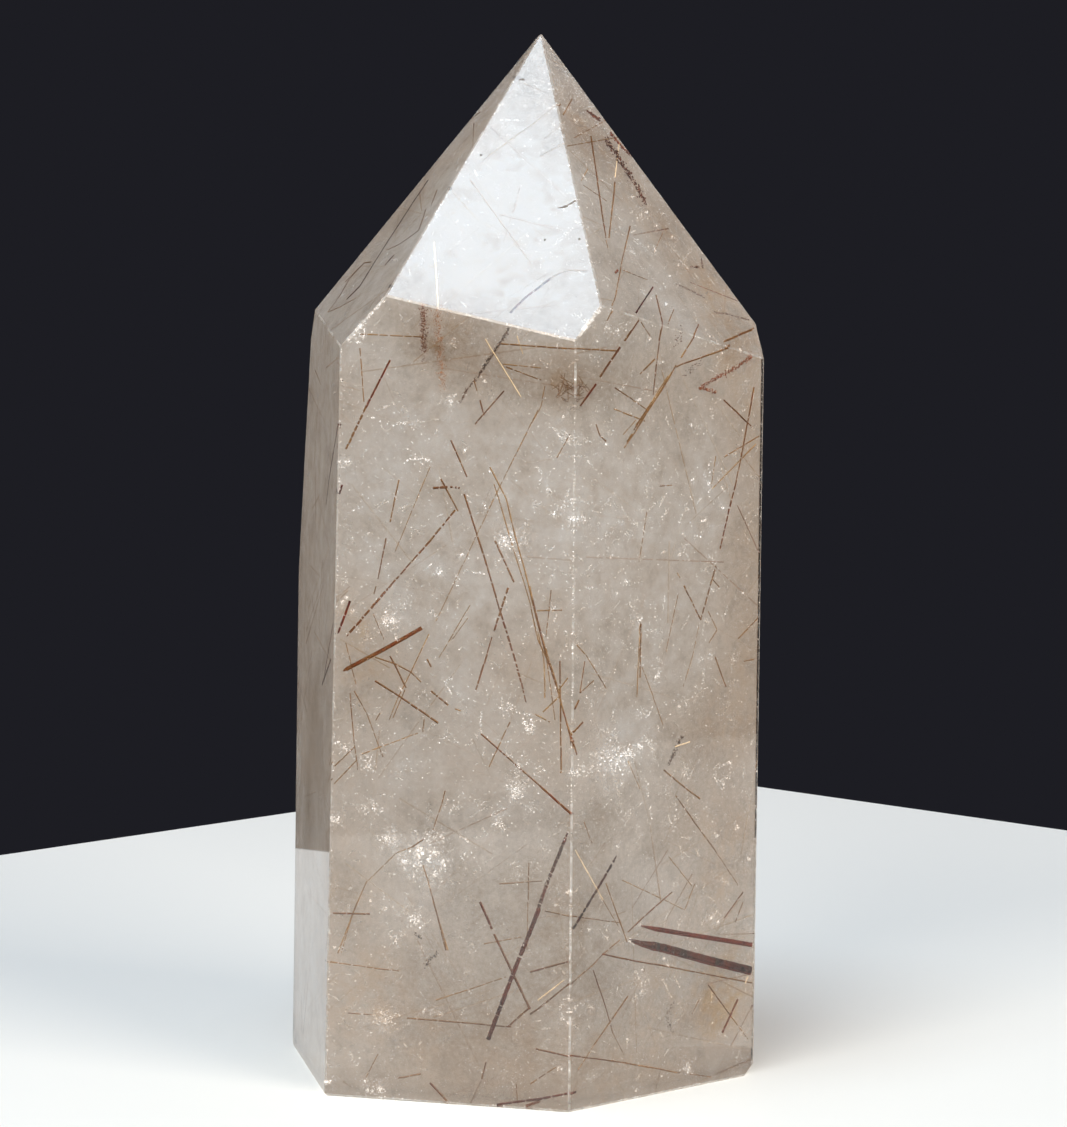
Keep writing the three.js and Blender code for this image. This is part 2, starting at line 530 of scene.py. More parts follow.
def grownPiece(name, makeTree, settings, material, frontRoom=0.0):
    # What a tree grows inside the stone, as a plain piece. The front of the box stays empty that far.
    low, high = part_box("quartz_tower")
    values = {
        "Stone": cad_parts["quartz_tower"],
        "Material": material,
        "Low": (low[0], low[1] + frontRoom, low[2]),
        "High": tuple(high),
        **settings,
    }
    holder = newObject(name, bpy.data.meshes.new(name))
    grow = holder.modifiers.new("grow", "NODES")
    grow.node_group = makeTree(values)
    for item in grow.node_group.interface.items_tree:
        if item.item_type == "SOCKET" and item.in_out == "INPUT":
            grow[item.identifier] = values[item.name]
    bpy.context.view_layer.update()
    shaped = holder.evaluated_get(bpy.context.evaluated_depsgraph_get())
    mesh = bpy.data.meshes.new_from_object(shaped)
    mesh.name = name
    bpy.data.objects.remove(holder)
    return newPiece(name, mesh, None)


def scattered(tree, start, surface):
    # Random points in a box, without those outside the stone or nearer to its faces than a margin.
    place = addNode(tree, "FunctionNodeRandomValue", {
        0: start.outputs["Low"], 1: start.outputs["High"], "Seed": start.outputs["Seed"]},
        data_type="FLOAT_VECTOR")
    cloud = addNode(tree, "GeometryNodePoints", {"Count": start.outputs["Count"], "Position": place})
    here = addNode(tree, "GeometryNodeInputPosition")
    near = addNode(tree, "GeometryNodeProximity", {"Geometry": surface}, target_element="FACES")
    normal = addNode(tree, "GeometryNodeInputNormal")
    facing = addNode(tree, "GeometryNodeSampleNearestSurface",
                     {"Mesh": surface, "Value": normal}, data_type="FLOAT_VECTOR")
    offset = addNode(tree, "ShaderNodeVectorMath",
                     {0: here, 1: near.outputs["Position"]}, operation="SUBTRACT")
    side = addNode(tree, "ShaderNodeVectorMath",
                   {0: offset, 1: facing.outputs["Value"]}, operation="DOT_PRODUCT")
    outside = addNode(tree, "FunctionNodeCompare",
                      {0: side.outputs["Value"], 1: 0.0}, operation="GREATER_THAN")
    shallow = addNode(tree, "FunctionNodeCompare",
                      {0: near.outputs["Distance"], 1: start.outputs["Margin"]}, operation="LESS_THAN")
    drop = addNode(tree, "FunctionNodeBooleanMath", {0: outside, 1: shallow}, operation="OR")
    kept = addNode(tree, "GeometryNodeDeleteGeometry",
                   {"Geometry": cloud, "Selection": drop}, domain="POINT")
    return kept


def madeReal(tree, start, end, copies):
    # The end of a tree: the copies as mesh with the given material.
    real = addNode(tree, "GeometryNodeRealizeInstances", {"Geometry": copies})
    painted = addNode(tree, "GeometryNodeSetMaterial",
                      {"Geometry": real, "Material": start.outputs["Material"]})
    tree.links.new(painted.outputs[0], end.inputs[0])


# Haze: bubbles too fine to see singly, which scatter light all through the stone.
hazeSettings = {"inset": 0.981, "colour": "#fce6d3", "scatteringPerMetre": 130.0,
                "middle": Vector((0, 0, 32 * mm))}


def hazeMaterial():
    # Fine bubbles have no surface of their own here: they only fill the quartz with pale light.
    material, tree = newMaterial("quartzHaze")
    glow = addNode(tree, "ShaderNodeVolumeScatter", {
        "Color": linear(hazeSettings["colour"]), "Density": hazeSettings["scatteringPerMetre"],
        "Anisotropy": 0.0})
    clear = addNode(tree, "ShaderNodeBsdfTransparent")
    addNode(tree, "ShaderNodeOutputMaterial", {"Surface": clear, "Volume": glow})
    return material


def insetMesh(name, share):
    # The stone's outline drawn in a little from its surface.
    shape = stoneShape()
    middle = hazeSettings["middle"]
    for corner in shape.verts:
        corner.co = middle + (corner.co - middle) * share
    return plainMesh(name, shape)


def makeShade():
    # The shadow that the milky stone throws on the floor. Only shadow rays meet it.
    s = stageSettings
    material, tree = newMaterial("stoneShade")
    dim = addNode(tree, "ShaderNodeVolumeAbsorption",
                  {"Color": linear(s["shadeColour"]), "Density": s["shadePerMetre"]})
    clear = addNode(tree, "ShaderNodeBsdfTransparent")
    addNode(tree, "ShaderNodeOutputMaterial", {"Surface": clear, "Volume": dim})
    shade = newObject("stoneShade", insetMesh("stoneShade", s["shadeInset"]))
    shade.data.materials.clear()
    shade.data.materials.append(material)
    for kind in ("camera", "diffuse", "glossy", "transmission", "volume_scatter"):
        setattr(shade, "visible_" + kind, False)


haze = newPiece("milk_haze", insetMesh("milkHaze", hazeSettings["inset"]), hazeMaterial())
haze.visible_shadow = False
makeShade()
print("haze ready")


# Minerals in the quartz. Their colours run from the first to the last by each face's tone, with
# patches of a real size that shift it.
def mineralMaterial(name, look):
    material, tree = newMaterial(name)
    tone = addNode(tree, "ShaderNodeAttribute", attribute_name="tone")
    place = addNode(tree, "ShaderNodeTexCoord")
    shifted = addNode(tree, "ShaderNodeMath", {
        0: tone.outputs["Fac"], 1: mottling(tree, place, look["patches"])}, use_clamp=True)
    ramp = addNode(tree, "ShaderNodeValToRGB", {"Fac": shifted})
    spreadColours(ramp, look["colours"])
    shader = addNode(tree, "ShaderNodeBsdfPrincipled", {"Base Color": ramp, **look["finish"]})
    addNode(tree, "ShaderNodeOutputMaterial", {"Surface": shader})
    return material


# Rutile: needles of titanium oxide that the quartz grew around, golden where thin and reddish brown
# to nearly black where thick, with the hard lustre of a much denser mineral.
rutile = mineralMaterial("rutile", {
    "colours": ["#0f0302", "#541a06", "#5f4120", "#87693a", "#efdfc0"],
    "patches": {"size": 0.8 * mm, "detail": 2.0, "greys": (0.3, 0.7), "values": (-0.09, 0.09)},
    "finish": {"Roughness": 0.22, "IOR": 1.7, "Specular IOR Level": 0.12},
})

# How each kind of needle looks: its tone along the colours above, its thickness, how long its
# unbroken lengths are, and the gaps between them.
needleKinds = {
    "dark": {"tone": 0.14, "width": 0.17 * mm, "run": 1.0 * mm, "gap": 0.07 * mm},
    "red": {"tone": 0.38, "width": 0.15 * mm, "run": 1.4 * mm, "gap": 0.05 * mm},
    "brown": {"tone": 0.5, "width": 0.115 * mm, "run": 1.1 * mm, "gap": 0.06 * mm},
    "beaded": {"tone": 0.46, "width": 0.15 * mm, "run": 0.5 * mm, "gap": 0.13 * mm},
    "gold": {"tone": 0.66, "width": 0.09 * mm, "run": 2.0 * mm, "gap": 0.04 * mm},
    "faint": {"tone": 0.63, "width": 0.08 * mm, "run": 0.9 * mm, "gap": 0.12 * mm},
    "pale": {"tone": 0.97, "width": 0.07 * mm, "run": 6.0 * mm, "gap": 0.02 * mm},
}
needleSettings = {"seed": 31, "step": 0.12 * mm, "stepsPerRing": 3, "jog": 0.012 * mm, "toneLuck": 0.08,
                  "widthLuck": 0.15, "lengthLuck": (0.5, 1.5), "lengthWidths": (0.85, 1.1), "mostGap": 0.6}

# The needles that show from the front, by kind: the depths of the two ends behind the face in
# millimetres, and the pixels that the needle passes.
needlePaths = {
    "brown": [
        {"depths": (0.4, 0.6), "through": [(699, 324), (691, 341)]},
        {"depths": (0.4, 0.7), "through": [(696, 330), (681, 358)]},
        {"depths": (1.0, 1.5), "through": [(560, 661), (561, 773)]},
        {"depths": (0.5, 0.7), "through": [(639, 319), (625, 341)]},
        {"depths": (0.8, 1.3), "through": [(655, 359), (640, 374)]},
        {"depths": (0.4, 0.8), "through": [(501, 344), (560, 348), (619, 351)]},
        {"depths": (0.5, 1.4), "through": [(504, 391), (475, 424)]},
        {"depths": (0.7, 1.1), "through": [(480, 400), (484, 415)]},
        {"depths": (0.5, 1.5), "through": [(399, 480), (390, 522)]},
        {"depths": (0.8, 1.8), "through": [(386, 538), (378, 579)]},
        {"depths": (0.7, 1.4), "through": [(441, 479), (458, 511)]},
        {"depths": (0.5, 0.9), "through": [(451, 440), (467, 477)]},
        {"depths": (0.5, 1.4), "through": [(464, 494), (485, 560), (500, 611)]},
        {"depths": (0.9, 1.4), "through": [(495, 541), (514, 582)]},
        {"depths": (1.1, 1.0), "through": [(533, 600), (546, 655), (559, 695), (567, 724), (573, 742)]},
        {"depths": (0.8, 1.5), "through": [(572, 741), (577, 755)]},
        {"depths": (0.5, 1.0), "through": [(375, 681), (399, 696), (438, 723)]},
        {"depths": (0.8, 1.3), "through": [(390, 656), (396, 667), (406, 688)]},
        {"depths": (1.3, 1.8), "through": [(492, 637), (487, 654), (476, 690)]},
        {"depths": (0.7, 0.8), "through": [(427, 659), (431, 667)]},
        {"depths": (0.6, 0.9), "through": [(481, 734), (498, 749), (540, 786)]},
        {"depths": (0.5, 0.8), "through": [(632, 330), (624, 341)]},
        {"depths": (0.5, 1.3), "through": [(661, 330), (658, 351), (653, 395)]},
        {"depths": (0.5, 1.1), "through": [(730, 345), (700, 358), (682, 364), (674, 368)]},
        {"depths": (0.7, 1.0), "through": [(652, 402), (640, 420), (634, 430)]},
        {"depths": (0.5, 1.1), "through": [(752, 330), (724, 342)]},
        {"depths": (0.4, 0.8), "through": [(754, 387), (744, 442), (735, 487)]},
        {"depths": (0.5, 1.1), "through": [(724, 400), (752, 427)]},
        {"depths": (0.8, 1.1), "through": [(615, 388), (633, 400)]},
        {"depths": (0.9, 1.3), "through": [(632, 434), (627, 442)]},
        {"depths": (1.0, 1.5), "through": [(596, 424), (600, 436), (606, 441)]},
        {"depths": (0.9, 1.3), "through": [(585, 661), (580, 693)]},
        {"depths": (0.8, 1.1), "through": [(583, 722), (573, 732)]},
        {"depths": (0.8, 1.6), "through": [(641, 624), (640, 678)]},
        {"depths": (0.7, 1.3), "through": [(715, 657), (726, 687)]},
        {"depths": (0.7, 1.3), "through": [(664, 770), (680, 784), (700, 799)]},
        {"depths": (0.8, 2.4), "through": [(676, 796), (690, 816), (714, 849)]},
        {"depths": (0.5, 1.4), "through": [(757, 875), (743, 892), (724, 918)]},
        {"depths": (0.6, 1.1), "through": [(424, 839), (412, 847)]},
        {"depths": (0.5, 0.7), "through": [(333, 913), (370, 914)]},
        {"depths": (0.9, 1.5), "through": [(430, 889), (437, 914), (446, 950)]},
        {"depths": (0.6, 1.1), "through": [(407, 1018), (444, 1021), (511, 1027)]},
        {"depths": (0.8, 1.1), "through": [(530, 1007), (508, 1027)]},
        {"depths": (0.9, 1.4), "through": [(530, 972), (568, 962)]},
        {"depths": (0.9, 1.4), "through": [(398, 1078), (421, 1074)]},
        {"depths": (0.8, 1.3), "through": [(486, 1062), (482, 1079)]},
        {"depths": (0.7, 1.0), "through": [(607, 886), (618, 917), (626, 938)]},
        {"depths": (0.8, 1.0), "through": [(672, 892), (648, 913), (628, 932)]},
        {"depths": (1.0, 1.8), "through": [(573, 982), (538, 1009), (530, 1014)]},
        {"depths": (0.5, 0.8), "through": [(602, 954), (634, 961), (664, 966)]},
        {"depths": (0.8, 0.6), "through": [(664, 966), (706, 974), (752, 983)]},
        {"depths": (0.9, 2.0), "through": [(593, 970), (604, 1002), (613, 1033)]},
        {"depths": (0.8, 1.3), "through": [(628, 996), (610, 1022), (594, 1045)]},
        {"depths": (0.5, 1.1), "through": [(708, 985), (730, 1015)]},
        {"depths": (0.7, 1.1), "through": [(536, 1049), (562, 1055), (626, 1063)]},
        {"depths": (1.0, 1.7), "through": [(626, 1063), (680, 1073)]},
        {"depths": (0.5, 1.0), "through": [(437, 190), (431, 206)]},
        {"depths": (0.5, 1.1), "through": [(426, 209), (419, 230)]},
        {"depths": (0.7, 1.1), "through": [(419, 230), (400, 244), (387, 250)]},
        {"depths": (0.5, 1.1), "through": [(371, 262), (364, 263), (345, 282), (329, 292)]},
        {"depths": (0.5, 1.1), "through": [(364, 263), (350, 278), (339, 297), (328, 312)]},
        {"depths": (0.4, 0.6), "through": [(480, 112), (471, 119)]},
        {"depths": (0.4, 0.7), "through": [(572, 99), (563, 115)]},
        {"depths": (0.5, 1.1), "through": [(591, 136), (598, 185), (603, 220), (606, 238)]},
        {"depths": (0.7, 1.4), "through": [(615, 182), (611, 220), (609, 238)]},
        {"depths": (0.8, 1.7), "through": [(630, 226), (622, 261), (615, 298), (612, 306)]},
        {"depths": (0.5, 1.0), "through": [(656, 295), (662, 321), (659, 341)]},
        {"depths": (0.5, 1.0), "through": [(754, 328), (725, 341)]},
    ],
    "faint": [
        {"depths": (1.0, 2.1), "through": [(503, 364), (541, 368)]},
        {"depths": (1.0, 1.8), "through": [(506, 367), (541, 380)]},
        {"depths": (0.7, 1.1), "through": [(474, 381), (477, 391)]},
        {"depths": (1.3, 3.5), "through": [(545, 386), (541, 407), (532, 423)]},
        {"depths": (2.6, 4.2), "through": [(570, 434), (557, 458)]},
        {"depths": (0.7, 1.0), "through": [(360, 334), (424, 337)]},
        {"depths": (0.5, 1.8), "through": [(360, 348), (364, 402)]},
        {"depths": (1.3, 2.1), "through": [(376, 586), (374, 594)]},
        {"depths": (1.6, 3.5), "through": [(430, 467), (395, 552)]},
        {"depths": (1.3, 4.9), "through": [(538, 410), (500, 486), (436, 621)]},
        {"depths": (1.6, 2.4), "through": [(547, 660), (555, 720)]},
        {"depths": (1.3, 2.0), "through": [(537, 611), (562, 610)]},
        {"depths": (1.3, 2.1), "through": [(551, 590), (546, 637)]},
        {"depths": (1.4, 2.1), "through": [(535, 714), (550, 722)]},
        {"depths": (0.9, 1.7), "through": [(373, 614), (384, 640)]},
        {"depths": (1.0, 2.4), "through": [(346, 643), (352, 669), (356, 684)]},
        {"depths": (1.0, 2.5), "through": [(350, 693), (354, 742), (358, 770)]},
        {"depths": (1.3, 2.9), "through": [(354, 691), (366, 712), (374, 733), (383, 757)]},
        {"depths": (1.6, 2.0), "through": [(455, 709), (461, 711)]},
        {"depths": (2.0, 3.5), "through": [(470, 605), (439, 658)]},
        {"depths": (2.0, 3.5), "through": [(468, 618), (452, 640)]},
        {"depths": (1.0, 1.7), "through": [(510, 722), (489, 767)]},
        {"depths": (0.9, 2.1), "through": [(357, 760), (334, 784)]},
        {"depths": (1.8, 2.8), "through": [(362, 754), (418, 733)]},
        {"depths": (1.0, 1.4), "through": [(380, 713), (376, 720)]},
        {"depths": (1.4, 2.4), "through": [(424, 719), (423, 732)]},
        {"depths": (2.3, 3.5), "through": [(699, 625), (692, 658), (683, 687)]},
        {"depths": (1.0, 1.4), "through": [(633, 400), (647, 410)]},
        {"depths": (0.9, 1.1), "through": [(614, 409), (645, 421)]},
        {"depths": (0.9, 1.4), "through": [(636, 420), (623, 435)]},
        {"depths": (1.7, 2.8), "through": [(647, 512), (639, 562)]},
        {"depths": (1.3, 1.7), "through": [(660, 486), (672, 485)]},
        {"depths": (1.0, 2.1), "through": [(716, 456), (711, 487)]},
        {"depths": (1.0, 1.7), "through": [(577, 645), (586, 655), (606, 688)]},
        {"depths": (1.2, 2.5), "through": [(642, 667), (653, 696), (663, 725)]},
        {"depths": (1.6, 2.8), "through": [(678, 594), (666, 652)]},
        {"depths": (1.3, 1.5), "through": [(677, 573), (680, 578)]},
        {"depths": (1.2, 1.5), "through": [(712, 579), (719, 587)]},
        {"depths": (1.6, 2.4), "through": [(708, 611), (717, 630), (709, 643)]},
        {"depths": (0.7, 1.4), "through": [(758, 618), (738, 639)]},
        {"depths": (0.7, 1.0), "through": [(744, 661), (755, 659)]},
        {"depths": (1.2, 1.8), "through": [(628, 761), (640, 789)]},
        {"depths": (2.2, 3.5), "through": [(714, 849), (738, 885)]},
        {"depths": (1.7, 2.8), "through": [(669, 857), (692, 886)]},
        {"depths": (1.6, 2.2), "through": [(695, 884), (685, 909)]},
        {"depths": (0.9, 1.7), "through": [(743, 902), (735, 923)]},
        {"depths": (1.7, 3.1), "through": [(622, 880), (658, 897), (685, 910)]},
        {"depths": (1.2, 1.7), "through": [(584, 822), (592, 843)]},
        {"depths": (1.0, 1.8), "through": [(445, 791), (442, 803), (433, 830)]},
        {"depths": (1.0, 2.5), "through": [(412, 847), (396, 853), (369, 880)]},
        {"depths": (1.3, 2.5), "through": [(365, 885), (353, 914), (341, 953)]},
        {"depths": (1.7, 2.5), "through": [(330, 962), (374, 968), (399, 971)]},
        {"depths": (1.2, 1.7), "through": [(348, 1013), (372, 1015)]},
        {"depths": (1.6, 2.5), "through": [(436, 1000), (476, 987), (506, 977)]},
        {"depths": (1.3, 1.8), "through": [(484, 944), (521, 937)]},
        {"depths": (1.3, 1.8), "through": [(499, 884), (542, 881)]},
        {"depths": (1.7, 2.8), "through": [(529, 863), (527, 950)]},
        {"depths": (1.0, 1.7), "through": [(378, 1054), (366, 1077)]},
        {"depths": (0.8, 1.4), "through": [(516, 1084), (518, 1104)]},
        {"depths": (1.0, 2.1), "through": [(530, 1084), (556, 1067)]},
        {"depths": (0.9, 1.3), "through": [(603, 900), (618, 926)]},
        {"depths": (1.2, 1.8), "through": [(545, 911), (568, 916), (600, 920), (621, 923)]},
        {"depths": (1.0, 1.8), "through": [(620, 940), (603, 954), (592, 966), (573, 982)]},
        {"depths": (1.8, 2.8), "through": [(613, 1033), (624, 1055)]},
        {"depths": (1.2, 2.1), "through": [(594, 1045), (578, 1070)]},
        {"depths": (1.0, 1.7), "through": [(730, 1015), (748, 1039)]},
        {"depths": (1.3, 2.1), "through": [(699, 1000), (692, 1014)]},
        {"depths": (1.6, 2.1), "through": [(690, 1074), (711, 1077)]},
        {"depths": (0.7, 1.3), "through": [(328, 312), (340, 307), (356, 298)]},
        {"depths": (1.0, 1.4), "through": [(606, 240), (608, 248)]},
        {"depths": (0.7, 1.0), "through": [(588, 169), (581, 181)]},
        {"depths": (0.8, 1.3), "through": [(583, 185), (607, 201)]},
        {"depths": (1.0, 1.7), "through": [(623, 270), (648, 280)]},
        {"depths": (1.3, 2.0), "through": [(663, 233), (654, 252)]},
        {"depths": (0.8, 1.1), "through": [(674, 309), (668, 324)]},
        {"depths": (0.9, 1.4), "through": [(641, 322), (650, 336)]},
        {"depths": (0.7, 1.0), "through": [(612, 310), (607, 321)]},
        {"depths": (0.5, 0.8), "through": [(523, 83), (546, 93)]},
        {"depths": (0.5, 1.1), "through": [(561, 104), (537, 121), (517, 135), (482, 161)]},
        {"depths": (0.8, 1.1), "through": [(550, 278), (569, 270), (587, 271)]},
        {"depths": (1.3, 2.8), "through": [(470, 180), (530, 262)]},
        {"depths": (0.4, 0.7), "through": [(318, 400), (314, 470)]},
        {"depths": (0.4, 0.7), "through": [(322, 560), (319, 640)]},
    ],
    "pale": [
        {"depths": (0.4, 1.1), "through": [(485, 339), (521, 397)]},
        {"depths": (0.4, 0.7), "through": [(517, 336), (523, 354)]},
        {"depths": (0.8, 1.1), "through": [(675, 747), (690, 742)]},
        {"depths": (0.5, 1.0), "through": [(575, 850), (603, 900)]},
        {"depths": (0.7, 1.0), "through": [(564, 980), (538, 1000)]},
        {"depths": (0.3, 0.4), "through": [(745, 984), (748, 976)]},
        {"depths": (0.4, 0.7), "through": [(619, 144), (615, 177)]},
        {"depths": (0.4, 0.7), "through": [(434, 242), (438, 306)]},
    ],
    "red": [
        {"depths": (0.3, 0.8), "through": [(390, 360), (366, 407)]},
        {"depths": (0.8, 0.8), "through": [(540, 786), (572, 814)]},
        {"depths": (0.5, 1.1), "through": [(620, 347), (600, 377)]},
        {"depths": (0.6, 1.3), "through": [(596, 384), (580, 406)]},
        {"depths": (1.0, 1.4), "through": [(579, 700), (575, 709)]},
        {"depths": (0.4, 0.7), "through": [(480, 902), (492, 929)]},
        {"depths": (0.7, 1.3), "through": [(494, 934), (513, 974), (530, 1009)]},
        {"depths": (0.4, 0.8), "through": [(430, 1083), (447, 1101)]},
        {"depths": (0.5, 0.8), "through": [(526, 1106), (540, 1101)]},
        {"depths": (0.5, 1.0), "through": [(738, 999), (722, 1033), (701, 1087)]},
        {"depths": (0.6, 0.8), "through": [(618, 270), (615, 273)]},
    ],
    "beaded": [
        {"depths": (0.4, 0.6), "through": [(433, 488), (450, 487), (460, 488)]},
        {"depths": (0.8, 0.5), "through": [(373, 606), (347, 636)]},
        {"depths": (0.5, 0.9), "through": [(455, 510), (430, 541)]},
        {"depths": (0.8, 1.3), "through": [(366, 407), (346, 449)]},
        {"depths": (0.8, 1.6), "through": [(430, 541), (391, 585)]},
        {"depths": (1.5, 0.8), "through": [(391, 585), (373, 606)]},
        {"depths": (1.3, 2.4), "through": [(500, 611), (510, 643), (522, 685), (526, 702)]},
        {"depths": (1.0, 1.7), "through": [(431, 691), (448, 705)]},
        {"depths": (0.9, 1.5), "through": [(508, 588), (500, 613), (494, 631)]},
        {"depths": (0.8, 1.5), "through": [(735, 487), (728, 514), (720, 549)]},
        {"depths": (1.6, 2.5), "through": [(716, 566), (710, 586), (701, 619)]},
        {"depths": (1.0, 1.5), "through": [(684, 586), (701, 620)]},
    ],
    "dark": [
        {"depths": (0.3, 0.5), "through": [(342, 485), (336, 493)]},
        {"depths": (0.4, 0.7), "through": [(350, 601), (338, 634)]},
        {"depths": (0.3, 0.6), "through": [(497, 1106), (540, 1099), (576, 1092)]},
        {"depths": (0.3, 0.8), "through": [(428, 180), (412, 204), (390, 238), (376, 260), (360, 286)]},
        {"depths": (0.5, 0.8), "through": [(394, 255), (385, 265)]},
        {"depths": (0.5, 0.8), "through": [(360, 286), (347, 299)]},
        {"depths": (0.4, 0.7), "through": [(653, 287), (636, 313)]},
        {"depths": (0.7, 1.0), "through": [(550, 279), (526, 297), (510, 313)]},
        {"depths": (0.3, 0.6), "through": [(338, 424), (329, 480), (326, 504)]},
        {"depths": (0.3, 0.6), "through": [(333, 624), (324, 677)]},
        {"depths": (0.3, 0.6), "through": [(331, 659), (322, 685)]},
    ],
    "gold": [
        {"depths": (0.7, 1.4), "through": [(490, 467), (506, 498), (515, 536), (524, 567), (532, 598),
            (540, 630), (547, 652)]},
        {"depths": (0.8, 1.5), "through": [(494, 484), (500, 503), (510, 538), (521, 573), (530, 603),
            (538, 640), (548, 662)]},
        {"depths": (1.2, 0.8), "through": [(530, 586), (535, 610), (544, 645), (554, 675), (560, 696),
            (566, 722), (572, 741)]},
        {"depths": (1.2, 0.9), "through": [(528, 583), (536, 618), (545, 652), (556, 684), (563, 712),
            (571, 735)]},
        {"depths": (1.3, 2.2), "through": [(538, 632), (544, 660), (545, 698)]},
        {"depths": (1.0, 1.4), "through": [(560, 696), (543, 712)]},
        {"depths": (1.0, 1.7), "through": [(568, 678), (559, 690)]},
        {"depths": (0.8, 1.5), "through": [(375, 657), (396, 664), (411, 672), (421, 682)]},
        {"depths": (0.9, 2.1), "through": [(429, 634), (410, 674), (399, 696), (389, 720)]},
        {"depths": (1.0, 2.0), "through": [(405, 690), (393, 718)]},
        {"depths": (0.9, 1.7), "through": [(354, 747), (335, 766)]},
        {"depths": (0.6, 1.1), "through": [(676, 365), (668, 380), (658, 396), (648, 411), (639, 426),
            (624, 448)]},
        {"depths": (0.7, 1.3), "through": [(672, 372), (661, 390), (650, 405), (643, 417), (634, 434)]},
        {"depths": (0.7, 1.1), "through": [(668, 376), (656, 395), (646, 413), (636, 425)]},
        {"depths": (0.5, 1.3), "through": [(759, 436), (724, 457)]},
        {"depths": (0.5, 1.8), "through": [(756, 444), (712, 489)]},
        {"depths": (0.9, 1.3), "through": [(594, 680), (580, 693)]},
        {"depths": (0.8, 1.5), "through": [(640, 622), (637, 697)]},
        {"depths": (1.2, 2.4), "through": [(367, 881), (356, 905), (338, 953)]},
        {"depths": (0.8, 1.5), "through": [(423, 865), (428, 880), (436, 912), (448, 950)]},
        {"depths": (0.6, 1.0), "through": [(606, 883), (618, 916), (627, 942)]},
    ],
}
# The stone's front edge in the photograph, and how deep a needle may lie beside it.
frontEdge = {"x": 573, "top": 345, "least": 0.28 * mm, "perPixel": 0.05 * mm}
squareSection = [(0.5, 0), (0, 0.5), (-0.5, 0), (0, -0.5)]


def alongPath(points, step):
    # Points every so often along a path through the given ones.
    out = [points[0]]
    for start, end in zip(points, points[1:]):
        count = max(1, round((end - start).length / step))
        out += [start.lerp(end, (k + 1) / count) for k in range(count)]
    return out


def edgeDepth(x, y, depth):
    # Near the front edge the needles lie shallow, or they would show twice, once through each face.
    if y < frontEdge["top"]:
        return depth
    return min(depth, frontEdge["least"] + frontEdge["perPixel"] * abs(x - frontEdge["x"]))


def photoPath(depths, pixels):
    # The places inside the stone behind a row of pixels, from the first depth to the last.
    places = []
    for index, (x, y) in enumerate(pixels):
        share = index / max(len(pixels) - 1, 1)
        depth = depths[0] + (depths[1] - depths[0]) * share
        places.append(insidePoint(x, y, edgeDepth(x, y, depth * mm)))
    return [place for place in places if place is not None]


def addRing(mesh, point, turn, width, section):
    # The corners of a rod's outline round a point; section gives them for a rod one unit thick.
    return [mesh.verts.new(point + turn @ Vector((x * width, y * width, 0))) for x, y in section]


def joinRings(mesh, rings, tone, groove=0.0, cut=0.0):
    # A closed rod through its rings; its grooves and cut ends may differ in tone.
    toneLayer = mesh.faces.layers.float["tone"]
    count = len(rings[0])
    for low, high in zip(rings, rings[1:]):
        for k in range(count):
            face = mesh.faces.new((low[k], low[(k + 1) % count], high[(k + 1) % count], high[k]))
            face[toneLayer] = tone + (groove if k % 4 == 1 else 0)
    for ring in (rings[0][::-1], rings[-1]):
        mesh.faces.new(ring)[toneLayer] = tone + cut


def tube(mesh, path, width, tone):
    # A thin square rod along a path.
    rings = []
    for index, point in enumerate(path):
        before = path[max(index - 1, 0)]
        after = path[min(index + 1, len(path) - 1)]
        turn = (after - before).to_track_quat("Z", "X")
        rings.append(addRing(mesh, point, turn, width, squareSection))
    joinRings(mesh, rings, tone)


def addNeedle(mesh, luck, points, look):
    # One needle as a row of unbroken lengths with gaps between them.
    s = needleSettings
    path = alongPath(points, s["step"])
    width = look["width"] * luck.uniform(1 - s["widthLuck"], 1 + s["widthLuck"])
    tone = clamped(look["tone"] + luck.uniform(-s["toneLuck"], s["toneLuck"]))
    index = 0
    while index < len(path) - 1:
        run = max(1, round(look["run"] * luck.uniform(*s["lengthLuck"]) / s["step"]))
        gap = look["gap"] * luck.uniform(*s["lengthLuck"])
        end = min(index + run, len(path) - 1)
        piece = path[index:end + 1:s["stepsPerRing"]]
        if len(piece) < 2 or piece[-1] != path[end]:
            piece.append(path[end])
        if end < len(path) - 1:
            away = (piece[-1] - piece[-2]).normalized()
            piece[-1] = piece[-1] - away * min(gap, (piece[-1] - piece[-2]).length * s["mostGap"])
        jog = anyWay(luck) * s["jog"]
        tube(mesh, [point + jog for point in piece], width * luck.uniform(*s["lengthWidths"]), tone)
        index = end


def makeNeedles():
    mesh = newShape("tone")
    luck = random.Random(needleSettings["seed"])
    for kind, paths in needlePaths.items():
        for needle in paths:
            points = photoPath(needle["depths"], needle["through"])
            if len(points) > 1:
                addNeedle(mesh, luck, points, needleKinds[kind])
    return newPiece("rutile_needles", plainMesh("rutileNeedles", mesh), rutile)


needles = makeNeedles()
print("needles ready", len(needles.data.polygons))

